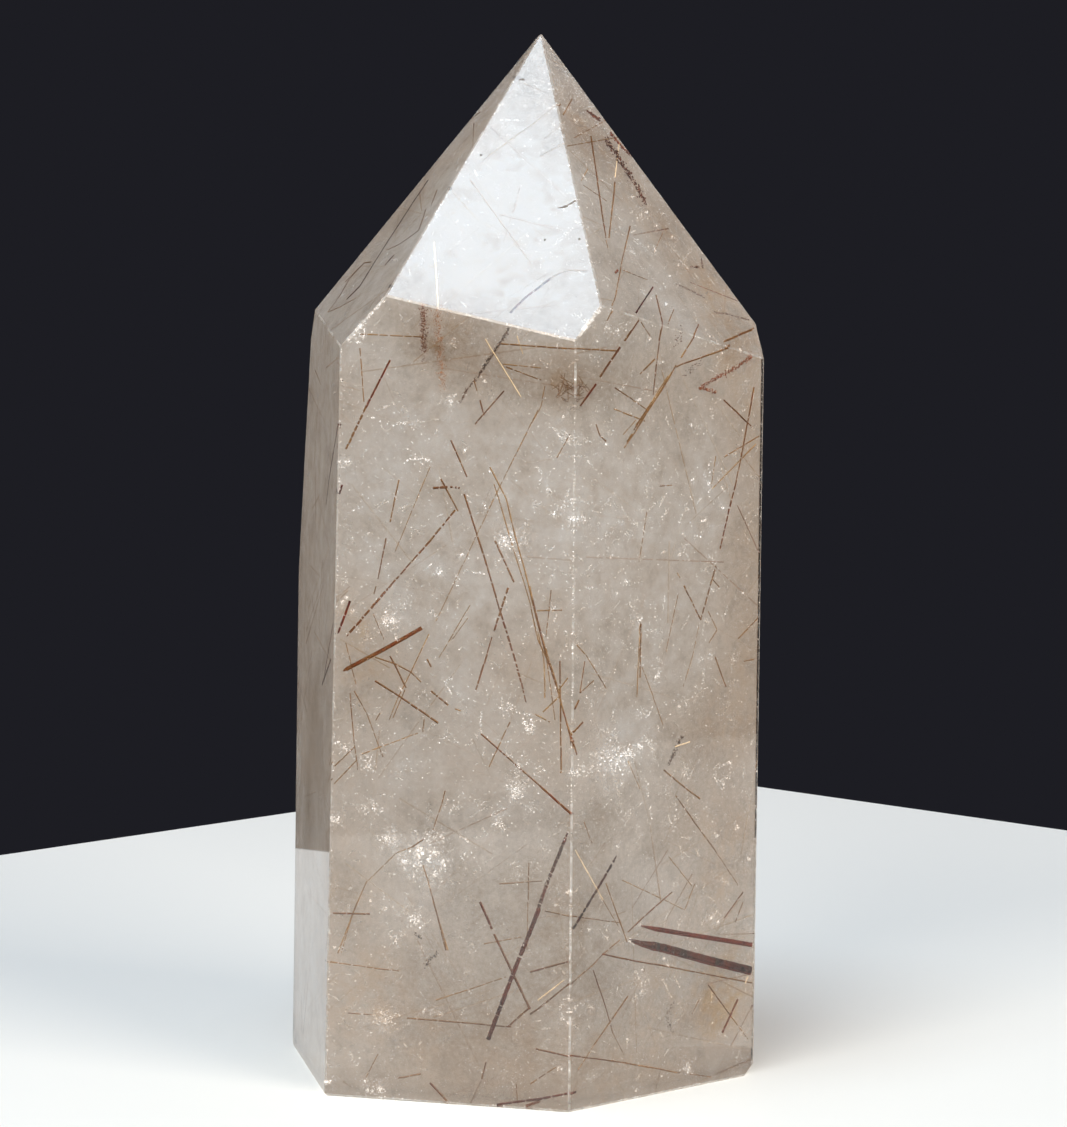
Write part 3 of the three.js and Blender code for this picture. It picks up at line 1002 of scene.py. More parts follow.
# The thick rods: grooved along their length as rutile prisms are, cracked across, and pointed
# where they end inside the stone.
rods = {
    "left": {"pixels": [(343, 671), (383, 650), (422, 628)], "depths": (0.35, 0.5), "width": 0.27 * mm,
             "tone": 0.4, "taper": 0.3, "cracks": 2, "break": 0.02 * mm},
    "rightUpper": {"pixels": [(641, 926), (655, 929), (690, 935), (722, 940), (752, 945)],
                   "depths": (0.7, 0.4), "width": 0.34 * mm, "tone": 0.17, "taper": 1.4, "cracks": 4,
                   "break": 0.03 * mm},
    "rightLower": {"pixels": [(629, 940), (642, 944), (666, 949), (706, 960), (751, 971)],
                   "depths": (1.0, 0.55), "width": 0.62 * mm, "tone": 0.08, "taper": 2.2, "cracks": 7,
                   "break": 0.04 * mm},
    "longLower": {"pixels": [(540, 907), (513, 974), (488, 1040)], "depths": (0.7, 0.4), "width": 0.29 * mm,
                  "tone": 0.1, "taper": 0.3, "cracks": 8, "break": 0.05 * mm, "rough": 0.15},
    "longUpper": {"pixels": [(568, 832), (548, 881), (530, 932)], "depths": (1.7, 1.0), "width": 0.24 * mm,
                  "tone": 0.06, "taper": 0.4, "cracks": 11, "break": 0.09 * mm, "rough": 0.22},
    "crossing": {"pixels": [(617, 855), (604, 878), (578, 921), (573, 929)], "depths": (1.2, 0.8),
                 "width": 0.2 * mm, "tone": 0.06, "taper": 0.4, "cracks": 7, "break": 0.1 * mm, "rough": 0.2},
}
rodSettings = {"seed": 17, "step": 0.1 * mm, "grooves": 7, "grooveDepth": 0.16, "flatness": 0.75,
               "wholeEnds": 4, "tip": 0.3, "rough": 0.04, "jog": 0.3, "toneLuck": 0.04, "grooveTone": 0.1,
               "cutTone": 0.2}


def grooved():
    # A flattened outline with grooves.
    s = rodSettings
    out = []
    for k in range(s["grooves"] * 2):
        angle = math.pi * k / s["grooves"]
        reach = 0.5 * (1 - (s["grooveDepth"] if k % 2 else 0))
        out.append((math.cos(angle) * reach, math.sin(angle) * reach * s["flatness"]))
    return out


def taperedTube(mesh, path, offset, rod, luck, section):
    # One unbroken length of a rod, thinner where the rod begins.
    s = rodSettings
    rings = []
    turn = (path[-1] - path[0]).to_track_quat("Z", "X")
    step = (path[-1] - path[0]).length / (len(path) - 1)
    rough = rod.get("rough", s["rough"])
    for index, point in enumerate(path):
        reach = (offset + index) * step
        grow = min(1.0, s["tip"] + (1 - s["tip"]) * reach / (rod["taper"] * mm))
        width = rod["width"] * grow * luck.uniform(1 - rough, 1 + rough)
        point = point + anyWay(luck) * rod["width"] * rough * s["jog"]
        rings.append(addRing(mesh, point, turn, width, section))
    tone = rod["tone"] + luck.uniform(-s["toneLuck"], s["toneLuck"])
    joinRings(mesh, rings, tone, s["grooveTone"], s["cutTone"])


def makeRods():
    s = rodSettings
    mesh = newShape("tone")
    luck = random.Random(s["seed"])
    section = grooved()
    for rod in rods.values():
        path = alongPath(photoPath(rod["depths"], rod["pixels"]), s["step"])
        room = range(s["wholeEnds"], len(path) - s["wholeEnds"])
        cuts = sorted(luck.sample(room, min(rod["cracks"], len(room))))
        for low, high in zip([0] + cuts, cuts + [len(path) - 1]):
            piece = path[low:high + 1]
            if len(piece) < 3:
                continue
            away = (piece[-1] - piece[0]).normalized()
            piece[0] = piece[0] + away * rod["break"] / 2
            piece[-1] = piece[-1] - away * rod["break"] / 2
            taperedTube(mesh, piece, low, rod, luck, section)
    return newPiece("rutile_rods", plainMesh("rutileRods", mesh), rutile)


thickRods = makeRods()
print("rods ready", len(thickRods.data.polygons))

# Loose hairs: fine needles at random through the rest of the stone, behind the ones that show.
hairSettings = {
    "Count": 300,
    "Shortest": 2.5 * mm,
    "Longest": 13 * mm,
    "Thinnest": 0.07 * mm,
    "Thickest": 0.13 * mm,
    "Darkest": 0.3,
    "Lightest": 0.7,
    "Margin": 0.4 * mm,
    "Seed": 5,
}
hairRoom = 13 * mm  # from the front of the stone to the first hairs
# The unbroken lengths that a hair shows as, and the gaps between, as shares of the whole.
hairLengths = {"lengths": (0.31, 0.17, 0.08, 0.24, 0.12), "gap": 0.02}


def oneHair(tree):
    # A hair one unit long and thick.
    hair = addNode(tree, "GeometryNodeJoinGeometry")
    reach = -0.5
    for length in hairLengths["lengths"]:
        rod = addNode(tree, "GeometryNodeMeshCylinder",
                      {"Vertices": 4, "Radius": 0.5, "Depth": length}, fill_type="NGON")
        moved = addNode(tree, "GeometryNodeTransform",
                        {"Geometry": rod, "Translation": (0, 0, reach + length / 2)})
        tree.links.new(moved.outputs[0], hair.inputs[0])
        reach += length + hairLengths["gap"]
    return hair


def hairTree(values):
    tree, start, end = newTree("hairs", values)
    surface = addNode(tree, "GeometryNodeObjectInfo", {"Object": start.outputs["Stone"]})
    points = scattered(tree, start, surface.outputs["Geometry"])
    aim = addNode(tree, "FunctionNodeRandomValue",
                  {0: (-1, -1, -1), 1: (1, 1, 1), "Seed": 21}, data_type="FLOAT_VECTOR")
    way = addNode(tree, "ShaderNodeVectorMath", {0: aim}, operation="NORMALIZE")
    back = addNode(tree, "ShaderNodeVectorMath", {0: way, "Scale": -1.0}, operation="SCALE")
    wanted = addNode(tree, "FunctionNodeRandomValue", {
        2: start.outputs["Shortest"], 3: start.outputs["Longest"], "Seed": 22}, data_type="FLOAT")
    half = addNode(tree, "ShaderNodeMath", {0: wanted.outputs[1], 1: 0.5}, operation="MULTIPLY")
    reaches = []
    for direction in (way, back):  # how far the hair can go each way before it meets a face
        ray = addNode(tree, "GeometryNodeRaycast", {
            "Target Geometry": surface.outputs["Geometry"], "Ray Direction": direction,
            "Ray Length": 200 * mm})
        room = addNode(tree, "ShaderNodeMath",
                       {0: ray.outputs["Hit Distance"], 1: start.outputs["Margin"]}, operation="SUBTRACT")
        reaches.append(addNode(tree, "ShaderNodeMath", {0: room, 1: half}, operation="MINIMUM"))
    ends = {0: reaches[0], 1: reaches[1]}
    total = addNode(tree, "ShaderNodeMath", ends)
    uneven = addNode(tree, "ShaderNodeMath", ends, operation="SUBTRACT")
    middle = addNode(tree, "ShaderNodeMath", {0: uneven, 1: 0.5}, operation="MULTIPLY")
    shift = addNode(tree, "ShaderNodeVectorMath", {0: way, "Scale": middle}, operation="SCALE")
    turn = addNode(tree, "FunctionNodeAlignRotationToVector", {"Vector": way}, axis="Z")
    thick = addNode(tree, "FunctionNodeRandomValue", {
        2: start.outputs["Thinnest"], 3: start.outputs["Thickest"], "Seed": 23}, data_type="FLOAT")
    size = addNode(tree, "ShaderNodeCombineXYZ", {0: thick.outputs[1], 1: thick.outputs[1], 2: total})
    spread = addNode(tree, "GeometryNodeInstanceOnPoints", {
        "Points": points, "Instance": oneHair(tree),
        "Rotation": turn, "Scale": size})
    moved = addNode(tree, "GeometryNodeTranslateInstances", {
        "Instances": spread, "Translation": shift, "Local Space": False})
    shade = addNode(tree, "FunctionNodeRandomValue", {
        2: start.outputs["Darkest"], 3: start.outputs["Lightest"], "Seed": 24}, data_type="FLOAT")
    toned = addNode(tree, "GeometryNodeStoreNamedAttribute", {
        "Geometry": moved, "Name": "tone", "Value": shade.outputs[1]},
        data_type="FLOAT", domain="INSTANCE")
    madeReal(tree, start, end, toned)
    return tree


hairs = grownPiece("rutile_hairs", hairTree, hairSettings, rutile, hairRoom)
print("hairs ready", len(hairs.data.polygons))

# The tangle of short golden brown fibres under the right end of the white facet.
tangleSettings = {"seed": 53, "left": 551, "right": 579, "top": 366, "bottom": 408, "fibres": 22,
                  "shallowest": 1.0 * mm, "deepest": 3.0 * mm, "longest": 1.5 * mm,
                  "reach": (0.3, 0.5), "width": 0.045 * mm, "bend": 0.12, "tones": (0.35, 0.62)}


def makeTangle():
    s = tangleSettings
    mesh = newShape("tone")
    luck = random.Random(s["seed"])
    for number in range(s["fibres"]):
        x = luck.triangular(s["left"], s["right"])
        y = luck.triangular(s["top"], s["bottom"])
        middle = insidePoint(x, y, luck.uniform(s["shallowest"], s["deepest"]))
        way = anyWay(luck).normalized()
        reach = luck.uniform(*s["reach"]) * s["longest"]
        side = anyWay(luck) * reach * s["bend"]
        path = [middle - way * reach, middle + side, middle + way * reach]
        tube(mesh, path, s["width"], luck.uniform(*s["tones"]))
    newPiece("rutile_tangle", plainMesh("rutileTangle", mesh), rutile)


makeTangle()

# Healed cracks: silvery white flakes where old fractures closed over air and water.
veilColours = {"shade": "#dfe3e8", "light": "#fbfdff", "dull": "#a3a09c", "patch": 0.5 * mm}


def veilMaterial():
    s = veilColours
    material, tree = newMaterial("healedCrack")
    place = addNode(tree, "ShaderNodeTexCoord")
    patch = addNode(tree, "ShaderNodeTexNoise", {
        "Vector": place.outputs["Object"], "Scale": 1 / s["patch"], "Detail": 2.0})
    tint = addNode(tree, "ShaderNodeMix", {
        0: patch, 6: linear(s["shade"]), 7: linear(s["light"])}, data_type="RGBA")
    dull = addNode(tree, "ShaderNodeAttribute", attribute_name="dull")
    mixed = addNode(tree, "ShaderNodeMix", {
        0: dull.outputs["Fac"], 6: tint.outputs[2], 7: linear(s["dull"])}, data_type="RGBA")
    shader = addNode(tree, "ShaderNodeBsdfPrincipled", {
        "Base Color": mixed.outputs[2], "Roughness": 0.35, "IOR": 1.3})
    addNode(tree, "ShaderNodeOutputMaterial", {"Surface": shader})
    return material


veil = veilMaterial()
fullTurn = 6.283  # radians
# Flecks gather in drifts, with few of them between.
fleckSettings = {
    "Count": 330000,
    "Smallest": 0.015 * mm,
    "Largest": 0.062 * mm,
    "Margin": 0.2 * mm,
    "Drift size": 3.2 * mm,
    "Clear below": 0.5,
    "Full above": 0.68,
    "Least share": 0.07,
    "Seed": 41,
}


def fleckTree(values):
    tree, start, end = newTree("flecks", values)
    surface = addNode(tree, "GeometryNodeObjectInfo", {"Object": start.outputs["Stone"]})
    inside = scattered(tree, start, surface.outputs["Geometry"])
    here = addNode(tree, "GeometryNodeInputPosition")
    pitch = addNode(tree, "ShaderNodeMath", {0: 1.0, 1: start.outputs["Drift size"]}, operation="DIVIDE")
    density = addNode(tree, "ShaderNodeTexNoise", {"Vector": here, "Scale": pitch, "Detail": 4.0})
    chance = addNode(tree, "ShaderNodeMapRange", {
        "Value": density, "From Min": start.outputs["Clear below"],
        "From Max": start.outputs["Full above"], "To Min": start.outputs["Least share"], "To Max": 1.0})
    luck = addNode(tree, "FunctionNodeRandomValue", {"Seed": 5}, data_type="FLOAT")
    thin = addNode(tree, "FunctionNodeCompare",
                   {0: luck.outputs[1], 1: chance}, operation="GREATER_THAN")
    kept = addNode(tree, "GeometryNodeDeleteGeometry",
                   {"Geometry": inside, "Selection": thin}, domain="POINT")
    flake = addNode(tree, "GeometryNodeMeshCircle", {"Vertices": 3, "Radius": 1.0}, fill_type="NGON")
    turn = addNode(tree, "FunctionNodeRandomValue",
                   {0: (0, 0, 0), 1: (fullTurn, fullTurn, fullTurn), "Seed": 7}, data_type="FLOAT_VECTOR")
    size = addNode(tree, "FunctionNodeRandomValue",
                   {2: start.outputs["Smallest"], 3: start.outputs["Largest"], "Seed": 9}, data_type="FLOAT")
    spread = addNode(tree, "GeometryNodeInstanceOnPoints", {
        "Points": kept, "Instance": flake,
        "Rotation": turn, "Scale": size.outputs[1]})
    madeReal(tree, start, end, spread)
    return tree


flecks = grownPiece("veil_flecks", fleckTree, fleckSettings, veil)
print("flecks ready", len(flecks.data.polygons))

# The crackled spots that show from the front: their middle and size in pixels, and their flakes.
crackles = [
    {"across": 12, "flakes": 26, "size": 2.0, "at": [(419, 852)]},
    {"across": 12, "flakes": 26, "size": 1.8, "at": [(434, 853)]},
    {"across": 11, "flakes": 26, "size": 1.8, "at": [(405, 862)]},
    {"across": 13, "flakes": 24, "size": 1.6, "at": [(443, 862)]},
    {"across": 8, "flakes": 10, "size": 1.6, "at": [(428, 860)]},
    {"across": 44, "flakes": 60, "size": 1.2, "at": [(420, 866)]},
    {"across": 16, "flakes": 34, "size": 1.15, "at": [(414, 921)]},
    {"across": 52, "flakes": 110, "at": [(617, 764)]},
    {"across": 20, "flakes": 60, "size": 1.0, "at": [(516, 790)]},
    {"across": 13, "flakes": 60, "at": [(380, 1090)]},
    {"across": 26, "flakes": 40, "at": [(512, 542)]},
    {"across": 20, "flakes": 40, "at": [(386, 620)]},
    {"across": 18, "flakes": 40, "at": [(387, 839)]},
    {"across": 11, "flakes": 40, "at": [(688, 1069)]},
    {"across": 10, "flakes": 40, "at": [(392, 621)]},
    {"across": 9, "flakes": 40, "at": [(626, 754)]},
    {"across": 24, "flakes": 36, "at": [(385, 1020)]},
    {"across": 9, "flakes": 30, "at": [(504, 538), (578, 774), (568, 892)]},
    {"across": 8, "flakes": 30, "at": [(514, 797), (342, 603)]},
    {"across": 9, "flakes": 26, "at": [(717, 836)]},
    {"across": 8, "flakes": 26, "at": [(632, 755)]},
    {"across": 18, "flakes": 24, "size": 1.0, "at": [(435, 876)]},
    {"across": 16, "flakes": 24, "at": [(375, 809)]},
    {"across": 10, "flakes": 24, "at": [(337, 820)]},
    {"across": 7, "flakes": 24, "at": [(325, 1082)]},
    {"across": 22, "flakes": 22, "at": [(571, 519)]},
    {"across": 10, "flakes": 22, "at": [(656, 677)]},
    {"across": 7, "flakes": 22, "at": [(640, 747)]},
    {"across": 8, "flakes": 20, "at": [(441, 836), (348, 463), (424, 1012)]},
    {"across": 7, "flakes": 20, "at": [(347, 598), (360, 334)]},
    {"across": 7, "flakes": 15, "at": [(496, 824), (353, 610), (439, 571), (738, 828), (750, 859),
        (583, 519), (704, 521), (679, 707), (554, 608), (484, 380), (450, 402), (465, 450), (491, 472),
        (461, 555), (597, 341), (639, 400), (346, 749), (368, 766), (396, 942), (589, 929), (555, 905),
        (617, 846), (711, 918), (664, 959), (591, 1008), (368, 1090), (365, 1081), (440, 1014),
        (632, 197), (647, 212), (670, 277), (666, 304), (618, 331), (722, 352), (740, 349), (368, 245),
        (343, 294)]},
    {"across": 9, "flakes": 14, "at": [(568, 1012)]},
    {"across": 8, "flakes": 14, "at": [(631, 942)]},
    {"across": 6, "flakes": 11, "at": [(504, 809), (340, 462), (554, 514), (622, 524), (691, 425),
        (692, 480), (723, 508), (640, 620), (710, 654), (733, 658), (742, 593), (617, 594), (627, 582),
        (451, 344), (485, 506), (563, 417), (607, 444), (663, 362), (696, 536), (680, 554), (338, 742),
        (370, 900), (718, 922), (559, 1068), (636, 1090), (577, 121), (598, 124), (657, 226), (655, 250),
        (634, 253), (672, 237), (679, 264), (610, 328), (650, 339), (668, 965), (743, 967), (750, 970),
        (640, 925), (524, 945)]},
]
# Softer patches of finer flakes, by how dense they are per pixel: middle and size in pixels.
softPatches = {
    1.6: [{"size": (12, 10), "at": [(515, 790)]}],
    1.4: [{"size": (8, 6), "at": [(345, 463)]}, {"size": (8, 8), "at": [(415, 920)]}],
    1.3: [{"size": (9, 14), "at": [(519, 766)]}],
    1.2: [{"size": (9, 6), "at": [(386, 840)]}, {"size": (9, 8), "at": [(504, 540)]}],
    1.1: [{"size": (6, 8), "at": [(453, 345)]}, {"size": (8, 18), "at": [(500, 822)]},
          {"size": (14, 6), "at": [(722, 880)]}],
    1.0: [{"size": (7, 22), "at": [(672, 822)]}, {"size": (16, 14), "at": [(625, 755)]}],
    0.9: [{"size": (4, 8), "at": [(756, 770)]}, {"size": (8, 8), "at": [(451, 403)]},
          {"size": (9, 8), "at": [(531, 808), (335, 820), (688, 1068)]},
          {"size": (9, 10), "at": [(344, 748)]}, {"size": (12, 8), "at": [(650, 742)]},
          {"size": (20, 8), "at": [(590, 770)]}],
    0.8: [{"size": (7, 14), "at": [(517, 873)]}, {"size": (7, 20), "at": [(642, 980)]},
          {"size": (9, 8), "at": [(506, 710)]}, {"size": (9, 12), "at": [(530, 726), (664, 790)]},
          {"size": (12, 8), "at": [(610, 330)]}, {"size": (12, 14), "at": [(368, 763)]},
          {"size": (14, 10), "at": [(372, 1088)]}, {"size": (20, 14), "at": [(432, 836)]}],
    0.7: [{"size": (6, 8), "at": [(712, 560)]}, {"size": (8, 12), "at": [(722, 782)]},
          {"size": (9, 8), "at": [(470, 497), (590, 1005), (712, 920)]},
          {"size": (9, 12), "at": [(585, 325)]}, {"size": (9, 16), "at": [(560, 892)]},
          {"size": (16, 12), "at": [(392, 618)]}],
    0.6: [{"size": (7, 14), "at": [(352, 330)]}, {"size": (9, 8), "at": [(700, 690), (555, 515)]},
          {"size": (9, 12), "at": [(612, 735), (640, 216)]}, {"size": (12, 6), "at": [(686, 775)]},
          {"size": (12, 8), "at": [(470, 951)]}, {"size": (12, 10), "at": [(398, 938)]},
          {"size": (14, 10), "at": [(366, 808)]}, {"size": (16, 8), "at": [(386, 1018)]}],
    0.5: [{"size": (9, 10), "at": [(640, 712)]}, {"size": (9, 14), "at": [(640, 832)]},
          {"size": (12, 6), "at": [(705, 660)]}, {"size": (12, 8), "at": [(640, 622)]},
          {"size": (12, 12), "at": [(625, 812)]}, {"size": (12, 20), "at": [(540, 772)]},
          {"size": (14, 8), "at": [(657, 668), (434, 1012)]}, {"size": (20, 6), "at": [(420, 460)]},
          {"size": (22, 6), "at": [(410, 425)]}],
    0.4: [{"size": (9, 8), "at": [(602, 690)]}, {"size": (9, 12), "at": [(532, 870), (560, 690)]},
          {"size": (9, 14), "at": [(700, 430)]}, {"size": (12, 8), "at": [(634, 600)]},
          {"size": (12, 10), "at": [(605, 930)]}, {"size": (14, 8), "at": [(445, 740)]},
          {"size": (16, 8), "at": [(408, 600)]}, {"size": (16, 10), "at": [(650, 250)]},
          {"size": (16, 12), "at": [(465, 860)]}],
    0.35: [{"size": (9, 20), "at": [(590, 700)]}, {"size": (12, 8), "at": [(455, 810)]},
           {"size": (12, 10), "at": [(600, 430), (480, 800)]}, {"size": (14, 16), "at": [(567, 500)]},
           {"size": (16, 10), "at": [(400, 770)]}],
}
# Rings and threads of the same flakes.
crackleThreads = [
    {"through": [(499, 707), (509, 704), (515, 711), (532, 714), (533, 724), (530, 733), (522, 718)],
     "flakes": 110},
    {"through": [(714, 776), (720, 766), (731, 762), (730, 775), (718, 782), (714, 776)], "flakes": 90},
    {"through": [(647, 780), (648, 798)], "flakes": 24}, {"through": [(650, 804), (652, 818)], "flakes": 18},
    {"through": [(709, 455), (709, 500)], "flakes": 44}, {"through": [(712, 408), (712, 420)], "flakes": 16},
    {"through": [(367, 416), (392, 425), (425, 421)], "flakes": 44},
    {"through": [(401, 463), (418, 458), (433, 462)], "flakes": 40},
    {"through": [(372, 1022), (385, 1017), (398, 1014)], "flakes": 30},
    {"through": [(642, 968), (641, 998)], "flakes": 40},
    {"through": [(590, 756), (617, 748), (645, 742)], "flakes": 60},
    {"through": [(486, 1054), (489, 1012)], "flakes": 16},
    {"through": [(345, 340), (358, 324), (371, 313), (388, 297)], "flakes": 120},
    {"through": [(601, 309), (592, 321), (581, 334)], "flakes": 60},
    {"through": [(318, 345), (316, 380)], "flakes": 20},
    {"through": [(568, 997), (574, 1003), (576, 1010), (573, 1019), (568, 1023), (562, 1018), (560, 1010),
                 (563, 1001), (568, 997)], "flakes": 110},
    {"through": [(360, 325), (364, 329), (365, 335), (363, 341), (359, 343), (355, 339), (354, 333),
                 (356, 327), (360, 325)], "flakes": 80},
    {"through": [(329, 346), (328, 372)], "flakes": 12}, {"through": [(325, 402), (323, 436)], "flakes": 12},
    {"through": [(312, 560), (311, 590)], "flakes": 10}, {"through": [(318, 700), (317, 742)], "flakes": 12},
    {"through": [(312, 800), (311, 826)], "flakes": 16}, {"through": [(308, 640), (307, 668)], "flakes": 8},
]
crackleSettings = {
    "seed": 67,
    "shallowest": 0.32 * mm,
    "deepest": 1.0 * mm,
    "depthLuck": (-0.1, 0.25),
    "smallest": 0.02 * mm,
    "largest": 0.078 * mm,
    "lean": 0.9,
    "cornerLuck": 0.3,
    "rims": (0.6, 1.3),
    "dullPower": 2.2,
    "spotShare": 1.1,
    "spotSpread": 0.22,
    "patchShare": 0.9,
    "patchSpread": 0.42,
    "patchSwirl": 2.4,
    "patchTilt": 0.7,
    "patchFlakes": (0.8, 2.4),
    "threadSpread": 1.0,
    "threadDepths": 1.8,
    "threadFlakes": 0.8,
}
looseCrackles = {"count": 2400, "least": 8, "most": 54, "across": 1.7 * mm, "shallowest": 0.3 * mm,
                 "deepest": 3.2 * mm, "widths": (0.06, 0.5), "reaches": (0.16, 0.62), "spread": 0.5,
                 "sizes": (0.4, 1.0), "dulls": (0.3, 0.9)}
# Single specks close under the faces.
specks = {"count": 16000, "drift": 4 * mm, "shallowest": 0.25 * mm, "deepest": 1.2 * mm,
          "smallest": 0.015 * mm, "largest": 0.05 * mm, "gathering": (-0.5, 0.3)}
outward = Vector((0, -1, 0.4))  # roughly towards the camera
skinRoom = 0.15 * mm  # the least depth of a loose flake
# Rays from the middle line find spots on the skin, from just above the base to the point.
middleLine = {"x": 1.2 * mm, "low": 1, "high": 67}
whiteFacet = {"mostY": -0.7, "leastZ": 0.5}  # which way that facet looks


def addFlake(mesh, place, size, facing, luck, leastDull=0.0):
    # One irregular flake that looks roughly the given way.
    s = crackleSettings
    lean = anyWay(luck) * s["lean"]
    turn = (facing + lean).normalized().to_track_quat("Z", "X")
    corners = []
    count = luck.choice((3, 4, 5))
    for k in range(count):
        angle = 2 * math.pi * (k + luck.uniform(-s["cornerLuck"], s["cornerLuck"])) / count
        reach = size * luck.uniform(*s["rims"])
        rim = Vector((math.cos(angle) * reach, math.sin(angle) * reach, 0))
        corners.append(mesh.verts.new(place + turn @ rim))
    face = mesh.faces.new(corners)
    dull = leastDull + (1 - leastDull) * luck.random() ** s["dullPower"]
    face[mesh.faces.layers.float["dull"]] = dull


def anySkinSpot(luck):
    # A random spot on the stone and the way out of the stone there.
    height = luck.uniform(middleLine["low"], middleLine["high"]) * mm
    angle = luck.uniform(0, 2 * math.pi)
    way = Vector((math.cos(angle), math.sin(angle), 0))
    return stoneSurface.ray_cast(Vector((middleLine["x"], 0, height)), way)[:2]


def onWhiteFacet(normal):
    # The white facet mirrors the light, so loose flakes stay away from it.
    return normal.y < whiteFacet["mostY"] and normal.z > whiteFacet["leastZ"]


def addSpots(mesh, luck):
    s = crackleSettings
    for spot, x, y in eachPlace(crackles):
        base = luck.uniform(s["shallowest"], s["deepest"])
        for number in range(round(spot["flakes"] * s["spotShare"])):
            away = abs(luck.gauss(0, s["spotSpread"])) * spot["across"]
            angle = luck.uniform(0, 2 * math.pi)
            place = insidePoint(x + away * math.cos(angle), y + away * math.sin(angle),
                                base + luck.uniform(*s["depthLuck"]) * mm)
            if place is not None:
                size = luck.uniform(s["smallest"], s["largest"]) * spot.get("size", 1)
                addFlake(mesh, place, size, outward, luck)


def addPatches(mesh, luck):
    s = crackleSettings
    for density, patch, x, y in eachGrouped(softPatches):
        wide, high = patch["size"]
        base = luck.uniform(s["shallowest"], s["deepest"])
        tilt = luck.uniform(-s["patchTilt"], s["patchTilt"])
        for number in range(round(wide * high * density * s["patchShare"])):
            along = luck.gauss(0, s["patchSpread"]) * wide
            across = luck.gauss(0, s["patchSpread"]) * high
            right = along * math.cos(tilt) - across * math.sin(tilt) + s["patchSwirl"] * math.sin(across)
            down = along * math.sin(tilt) + across * math.cos(tilt) + s["patchSwirl"] * math.sin(along)
            place = insidePoint(x + right, y + down, base + luck.uniform(*s["depthLuck"]) * mm)
            if place is not None:
                size = luck.uniform(*s["patchFlakes"]) * s["smallest"]
                addFlake(mesh, place, size, outward, luck)


def addLoose(mesh, luck):
    # Crackled spots at random through the whole stone.
    s = crackleSettings
    loose = looseCrackles
    for number in range(loose["count"]):
        hit, normal = anySkinSpot(luck)
        if hit is None or onWhiteFacet(normal):
            continue
        middle = hit - normal * luck.uniform(loose["shallowest"], loose["deepest"])
        long = anyWay(luck).normalized() * loose["across"]
        wide = long.cross(normal) * luck.uniform(*loose["widths"])
        reach = luck.uniform(*loose["reaches"])
        size = luck.uniform(*loose["sizes"])
        dull = luck.uniform(*loose["dulls"])
        for flake in range(luck.randint(loose["least"], loose["most"])):
            along = long * luck.gauss(0, loose["spread"])
            place = middle + (along + wide * luck.gauss(0, loose["spread"])) * reach
            if depthInside(place) > skinRoom:
                addFlake(mesh, place, luck.uniform(s["smallest"], s["largest"] * size), normal, luck, dull)


def addThreads(mesh, luck):
    s = crackleSettings
    for thread in crackleThreads:
        pixels = [Vector(pixel) for pixel in thread["through"]]
        lengths = [(b - a).length for a, b in zip(pixels, pixels[1:])]
        for number in range(thread["flakes"]):
            part = luck.choices(range(len(lengths)), weights=lengths)[0]
            spot = pixels[part].lerp(pixels[part + 1], luck.random())
            x = spot.x + luck.gauss(0, s["threadSpread"])
            y = spot.y + luck.gauss(0, s["threadSpread"])
            deepest = s["shallowest"] * s["threadDepths"]
            place = insidePoint(x, y, luck.uniform(s["shallowest"], deepest))
            if place is not None:
                size = luck.uniform(s["smallest"], s["largest"] * s["threadFlakes"])
                addFlake(mesh, place, size, outward, luck)


def addSpecks(mesh, luck):
    s = specks
    for number in range(s["count"]):
        hit, normal = anySkinSpot(luck)
        gathered = noise.noise(hit / s["drift"]) if hit is not None else -1
        if gathered < luck.uniform(*s["gathering"]) or onWhiteFacet(normal):
            continue
        place = hit - normal * luck.uniform(s["shallowest"], s["deepest"])
        if depthInside(place) > skinRoom:
            addFlake(mesh, place, luck.uniform(s["smallest"], s["largest"]), normal, luck)


def makeCrackles():
    mesh = newShape("dull")
    luck = random.Random(crackleSettings["seed"])
    for addKind in (addSpots, addPatches, addLoose, addThreads, addSpecks):
        addKind(mesh, luck)
    return newPiece("veil_crackles", plainMesh("veilCrackles", mesh), veil)


crackled = makeCrackles()

# Films: feathery sheets of bubbles, the ground of each crackled spot. Their white thins out in
# drifts and finer wisps of real sizes, towards their rims and towards the stone's faces.
filmSettings = {
    "seed": 73,
    "colour": "#f7fbff",
    "thickest": 0.8,
    "drift": {"size": 0.5 * mm, "detail": 4.0, "roughness": 0.68, "greys": (0.35, 0.6), "values": (0, 1)},
    "wisp": {"size": 0.16 * mm, "detail": 6.0, "roughness": 0.68, "greys": (0.47, 0.6), "values": (0, 1)},
    "cells": 4,
    "wave": 0.27 * mm,
    "waveLength": 3 * mm,
    "margin": 0.35 * mm,
    "softRim": 0.8 * mm,
    "faintest": 0.1,
    "acrossShare": 1.5,
    "acrossMore": 6,
    "leastShare": 0.45,
    "flakesPerShare": 60,
    "mostShare": 1.6,
    "depths": (0.5, 1.1),
    "lean": 0.3,
}


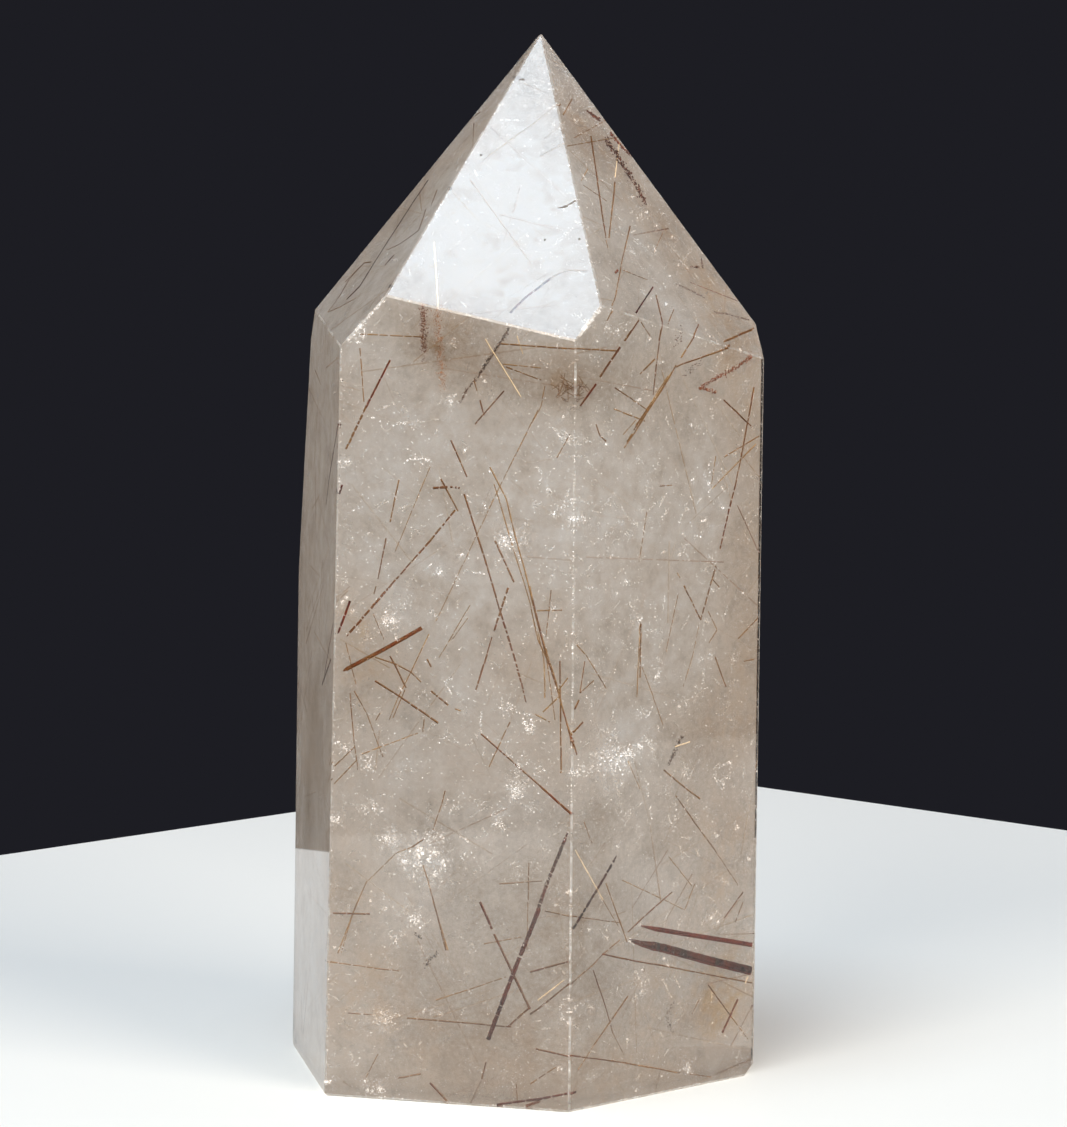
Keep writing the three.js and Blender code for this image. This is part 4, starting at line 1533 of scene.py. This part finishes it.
def filmMaterial():
    s = filmSettings
    material, tree = newMaterial("quartzCrackleFilm")
    place = addNode(tree, "ShaderNodeTexCoord")
    cover = addNode(tree, "ShaderNodeAttribute", attribute_name="fade").outputs["Fac"]
    for pattern in ("drift", "wisp"):
        cover = addNode(tree, "ShaderNodeMath", {
            0: mottling(tree, place, s[pattern]), 1: cover}, operation="MULTIPLY")
    share = addNode(tree, "ShaderNodeMath",
                    {0: cover, 1: s["thickest"]}, operation="MULTIPLY", use_clamp=True)
    shader = addNode(tree, "ShaderNodeBsdfPrincipled", {
        "Base Color": linear(s["colour"]), "Roughness": 0.9, "Specular IOR Level": 0.0})
    glow = addNode(tree, "ShaderNodeBsdfTranslucent", {"Color": linear(s["colour"])})
    both = addNode(tree, "ShaderNodeMixShader", {0: 0.5, 1: shader, 2: glow})
    clear = addNode(tree, "ShaderNodeBsdfTransparent")
    film = addNode(tree, "ShaderNodeMixShader", {0: share, 1: clear, 2: both})
    addNode(tree, "ShaderNodeOutputMaterial", {"Surface": film})
    return material


def addFilm(mesh, centre, facing, across, share, luck):
    # One wavy film round a middle.
    s = filmSettings
    turn = facing.normalized().to_track_quat("Z", "X")
    swirl = Vector((luck.uniform(0, 50), 0, 0))
    fadeLayer = mesh.verts.layers.float["fade"]
    count = s["cells"] + 1
    grid = {}
    for i in range(count):
        for j in range(count):
            x = (i / s["cells"] * 2 - 1) * across / 2
            y = (j / s["cells"] * 2 - 1) * across / 2
            wave = noise.noise(Vector((x, y, 0)) / s["waveLength"] + swirl) * s["wave"]
            place = centre + turn @ Vector((x, y, wave))
            depth = depthInside(place)
            if depth >= s["margin"]:
                corner = mesh.verts.new(place)
                rim = max(0.0, 1 - (x * x + y * y) * 4 / (across * across))
                nearSkin = min(1.0, (depth - s["margin"]) / s["softRim"] + s["faintest"])
                corner[fadeLayer] = share * rim * nearSkin
                grid[i, j] = corner
    for i in range(s["cells"]):
        for j in range(s["cells"]):
            four = [grid.get(spot) for spot in ((i, j), (i + 1, j), (i + 1, j + 1), (i, j + 1))]
            if None not in four:
                mesh.faces.new(four).smooth = True


def makeCrackleFilms():
    s = filmSettings
    mesh = bmesh.new()
    mesh.verts.layers.float.new("fade")
    luck = random.Random(s["seed"])
    for spot, x, y in eachPlace(crackles):
        across = (spot["across"] * s["acrossShare"] + s["acrossMore"]) * photo["pixelSize"]
        share = min(s["mostShare"], s["leastShare"] + spot["flakes"] / s["flakesPerShare"])
        centre = insidePoint(x, y, luck.uniform(*s["depths"]) * mm)
        if centre is not None:
            facing = anyWay(luck) * s["lean"] - photoRay(x, y)
            addFilm(mesh, centre, facing, across, share, luck)
    return newPiece("crackle_films", plainMesh("crackleFilms", mesh), filmMaterial())


crackleFilms = makeCrackleFilms()
print("crackles ready", len(crackled.data.polygons), len(crackleFilms.data.polygons))

# Bruises: the edges are knocked a little, and each knock leaves white flakes just under the skin.
bruiseSettings = {
    "seed": 71,
    "perMetre": 12000,
    "shortestEdge": 1 * mm,
    "behindFrom": 4 * mm,
    "shareBehind": 0.25,
    "clumping": 0.5,
    "clumpWaves": (1.7, 4.1),
    "clumpLuck": 0.6,
    "bareBelow": -0.9,
    "axisLow": 5 * mm,
    "axisHigh": 50 * mm,
    "depth": 0.03 * mm,
    "drift": 0.09 * mm,
    "smallest": 0.012 * mm,
    "largest": 0.05 * mm,
    "clearOf": 1.3,
}


def bareStretch(reach, centre, luck):
    # Bruises lie in clumps, so parts of an edge have none.
    s = bruiseSettings
    long, short = s["clumpWaves"]
    clump = math.sin(reach / mm * long + centre.x / mm) + math.sin(reach / mm * short + centre.y / mm)
    return s["clumping"] * clump + luck.gauss(0, s["clumpLuck"]) < s["bareBelow"]


def makeBruises():
    s = bruiseSettings
    mesh = newShape("dull")
    luck = random.Random(s["seed"])
    for corners in ridges:
        pairs = list(zip(corners, corners[1:] + corners[:1]))
        start, end = max(pairs, key=lambda pair: (pair[1] - pair[0]).length)
        centre = sum(corners, Vector()) / len(corners)
        length = (end - start).length
        if length < s["shortestEdge"]:
            continue
        along = (end - start) / length
        aside = (centre - start) - along * along.dot(centre - start)
        share = s["shareBehind"] if centre.y > s["behindFrom"] else 1
        for number in range(round(length * s["perMetre"] * share)):
            reach = luck.random() * length
            spot = start + along * reach + aside
            if bareStretch(reach, centre, luck):
                continue
            axisSpot = Vector((0, 0, min(max(spot.z, s["axisLow"]), s["axisHigh"])))
            inward = (axisSpot - spot).normalized()
            place = spot + inward * (s["depth"] + abs(luck.gauss(0, 1)) * s["drift"] + s["largest"])
            if depthInside(place) > s["largest"] * s["clearOf"]:
                addFlake(mesh, place, luck.uniform(s["smallest"], s["largest"]), -inward, luck)
    return newPiece("veil_bruises", plainMesh("veilBruises", mesh), veil)


bruises = makeBruises()
print("bruises ready", len(bruises.data.polygons))

# Notches: small chips out of the white facet and its rims, dull where the polish is gone. Their dark grey
# # is painted shade: the chips miss the light that the facet around them mirrors.
notches = [
    {"corners": [(513.5, 76), (524, 78), (525, 81), (518, 80), (512, 79)]},
    {"corners": [(449, 186), (452, 188), (451.5, 191), (447, 191)]},
    {"corners": [(390, 284), (393, 285), (391, 288.5), (388, 288)]},
    {"corners": [(556, 208.5), (562, 206.5), (567, 205), (568.5, 206.5), (565, 208)]},
    {"corners": [(567, 205), (572, 202), (576.5, 199.5), (576, 201), (571, 204.5)]},
    {"corners": [(578, 238), (580.5, 238), (580.5, 240), (578, 240)]},
    {"corners": [(479.5, 154), (482.5, 154), (482, 156), (480, 156)]},
    {"corners": [(544, 239), (546, 239), (545.5, 241), (544, 241)]},
]
# The dark and light greys of the notches are painted shade, laid on a flat sheet just proud of the facet.
notchSettings = {"dark": "#4f4a45", "light": "#7d766f", "grit": 0.08 * mm, "proud": 0.006 * mm}


def makeNotches():
    s = notchSettings
    material, tree = newMaterial("chipsPaintedShade")
    place = addNode(tree, "ShaderNodeTexCoord")
    grit = addNode(tree, "ShaderNodeTexNoise", {
        "Vector": place.outputs["Object"], "Scale": 1 / s["grit"], "Detail": 3.0})
    tint = addNode(tree, "ShaderNodeMix", {
        0: grit, 6: linear(s["dark"]), 7: linear(s["light"])}, data_type="RGBA")
    shader = addNode(tree, "ShaderNodeBsdfPrincipled", {"Base Color": tint.outputs[2], "Roughness": 0.8})
    addNode(tree, "ShaderNodeOutputMaterial", {"Surface": shader})
    mesh = bmesh.new()
    for notch in notches:
        corners = []
        for x, y in notch["corners"]:
            hit, normal, index, distance = stoneSurface.ray_cast(camera.location, photoRay(x, y))
            if hit is not None:
                corners.append(mesh.verts.new(hit + normal * s["proud"]))
        mesh.faces.new(corners)
    newPiece("facet_notches", plainMesh("facetNotches", mesh), material)


makeNotches()

# Rust: iron stain in old cracks, as nearly black to ochre crumbs along wandering trails.
rust = mineralMaterial("ironStain", {
    "colours": ["#26201c", "#4f3020", "#7a3f22", "#a4703c"],
    "patches": {"size": 0.4 * mm, "detail": 3.0, "greys": (0.3, 0.7), "values": (-0.15, 0.15)},
    "finish": {"Roughness": 0.7},
})
# Tone runs along the colours above; width and depth are real sizes.
rustTrails = [
    {"through": [(587, 111), (594, 116), (601, 121)], "tone": 0.4, "width": 0.2 * mm, "depth": 0.45 * mm,
     "grain": 2.2},
    {"through": [(607, 140), (611, 147), (617, 155), (620, 161), (625, 168), (629, 175)], "tone": 0.3,
     "width": 0.42 * mm, "depth": 0.45 * mm, "grain": 1.0},
    {"through": [(629, 175), (633, 181), (639, 189), (641, 196), (645, 203)], "tone": 0.35,
     "width": 0.36 * mm, "depth": 0.5 * mm, "grain": 1.0},
    {"through": [(611, 133), (617, 141), (622, 147), (630, 155)], "tone": 0.5, "width": 0.18 * mm,
     "depth": 0.45 * mm, "grain": 2.0},
    {"through": [(676, 284), (690, 290), (705, 298)], "tone": 0.3, "width": 0.12 * mm, "depth": 0.7 * mm},
    {"through": [(690, 267), (703, 267), (701, 258)], "tone": 0.35, "width": 0.14 * mm, "depth": 0.7 * mm},
    {"through": [(752, 356), (736, 368), (719, 376), (700, 388), (716, 392)], "tone": 0.62,
     "width": 0.2 * mm, "depth": 0.7 * mm},
    {"through": [(687, 372), (696, 366), (703, 359)], "tone": 0.2, "width": 0.4 * mm, "depth": 1.8 * mm,
     "grain": 0.6, "dense": 0.6},
    {"through": [(674, 344), (683, 332)], "tone": 0.25, "width": 0.4 * mm, "depth": 1.8 * mm, "grain": 0.6,
     "dense": 0.5},
    {"through": [(682, 736), (676, 748), (669, 765)], "tone": 0.1, "width": 0.2 * mm, "depth": 1.2 * mm},
    {"through": [(438, 952), (431, 958), (425, 966)], "tone": 0.15, "width": 0.2 * mm, "depth": 1.0 * mm,
     "dense": 0.7},
    {"through": [(415, 934), (421, 938)], "tone": 0.05, "width": 0.16 * mm, "depth": 1.0 * mm},
    {"through": [(674, 1002), (667, 1016), (672, 1031)], "tone": 0.2, "width": 0.3 * mm, "depth": 1.8 * mm,
     "grain": 0.7, "dense": 0.6},
    {"through": [(423, 306), (424, 330), (424, 350)], "tone": 0.5, "width": 0.34 * mm, "depth": 0.6 * mm,
     "grain": 0.55, "dense": 2.4},
    {"through": [(424, 346), (423, 362)], "tone": 0.55, "width": 0.28 * mm, "depth": 0.7 * mm, "grain": 0.55},
    {"through": [(437, 310), (439, 340), (442, 372), (443, 388)], "tone": 0.95, "width": 0.4 * mm,
     "depth": 0.7 * mm, "grain": 0.4, "dense": 1.6},
    {"through": [(509, 326), (506, 334), (494, 352), (477, 378)], "tone": 0.12, "width": 0.15 * mm,
     "depth": 0.7 * mm, "dense": 1.5},
    {"through": [(477, 378), (466, 390), (460, 403)], "tone": 0.25, "width": 0.14 * mm, "depth": 0.8 * mm},
    {"through": [(713, 312), (728, 314), (749, 320)], "tone": 0.3, "width": 0.12 * mm, "depth": 0.7 * mm},
]
rustSettings = {"seed": 83, "crumbsPerMetre": 60000, "drift": 0.36, "smallest": 0.08, "largest": 0.27,
                "grain": 1.3, "toneLuck": 0.08, "tips": (0.5, 1.4)}


def addCrumb(mesh, place, size, tone, luck):
    # One small irregular eight-sided grain.
    toneLayer = mesh.faces.layers.float["tone"]
    tips = [Vector(tip) * size * luck.uniform(*rustSettings["tips"])
            for tip in ((1, 0, 0), (0, 1, 0), (-1, 0, 0), (0, -1, 0), (0, 0, 1), (0, 0, -1))]
    corners = [mesh.verts.new(place + tip) for tip in tips]
    for k in range(4):
        for pole in (4, 5):
            trio = (corners[k], corners[(k + 1) % 4], corners[pole])
            mesh.faces.new(trio if pole == 4 else trio[::-1])[toneLayer] = tone


def makeRust():
    s = rustSettings
    mesh = newShape("tone")
    luck = random.Random(s["seed"])
    for trail in rustTrails:
        points = [insidePoint(x, y, trail["depth"]) for x, y in trail["through"]]
        points = [point for point in points if point is not None]
        grain = trail["width"] * trail.get("grain", s["grain"])
        for start, end in zip(points, points[1:]):
            crumbs = (end - start).length * s["crumbsPerMetre"] * trail.get("dense", 1)
            for number in range(max(2, round(crumbs))):
                drift = Vector([luck.gauss(0, 1) for axis in range(3)]) * trail["width"] * s["drift"]
                size = grain * luck.uniform(s["smallest"], s["largest"])
                tone = clamped(trail["tone"] + luck.gauss(0, s["toneLuck"]))
                addCrumb(mesh, start.lerp(end, luck.random()) + drift, size, tone, luck)
    return newPiece("rust_crumbs", plainMesh("rustCrumbs", mesh), rust)


crumbs = makeRust()
print("rust ready", len(crumbs.data.polygons))
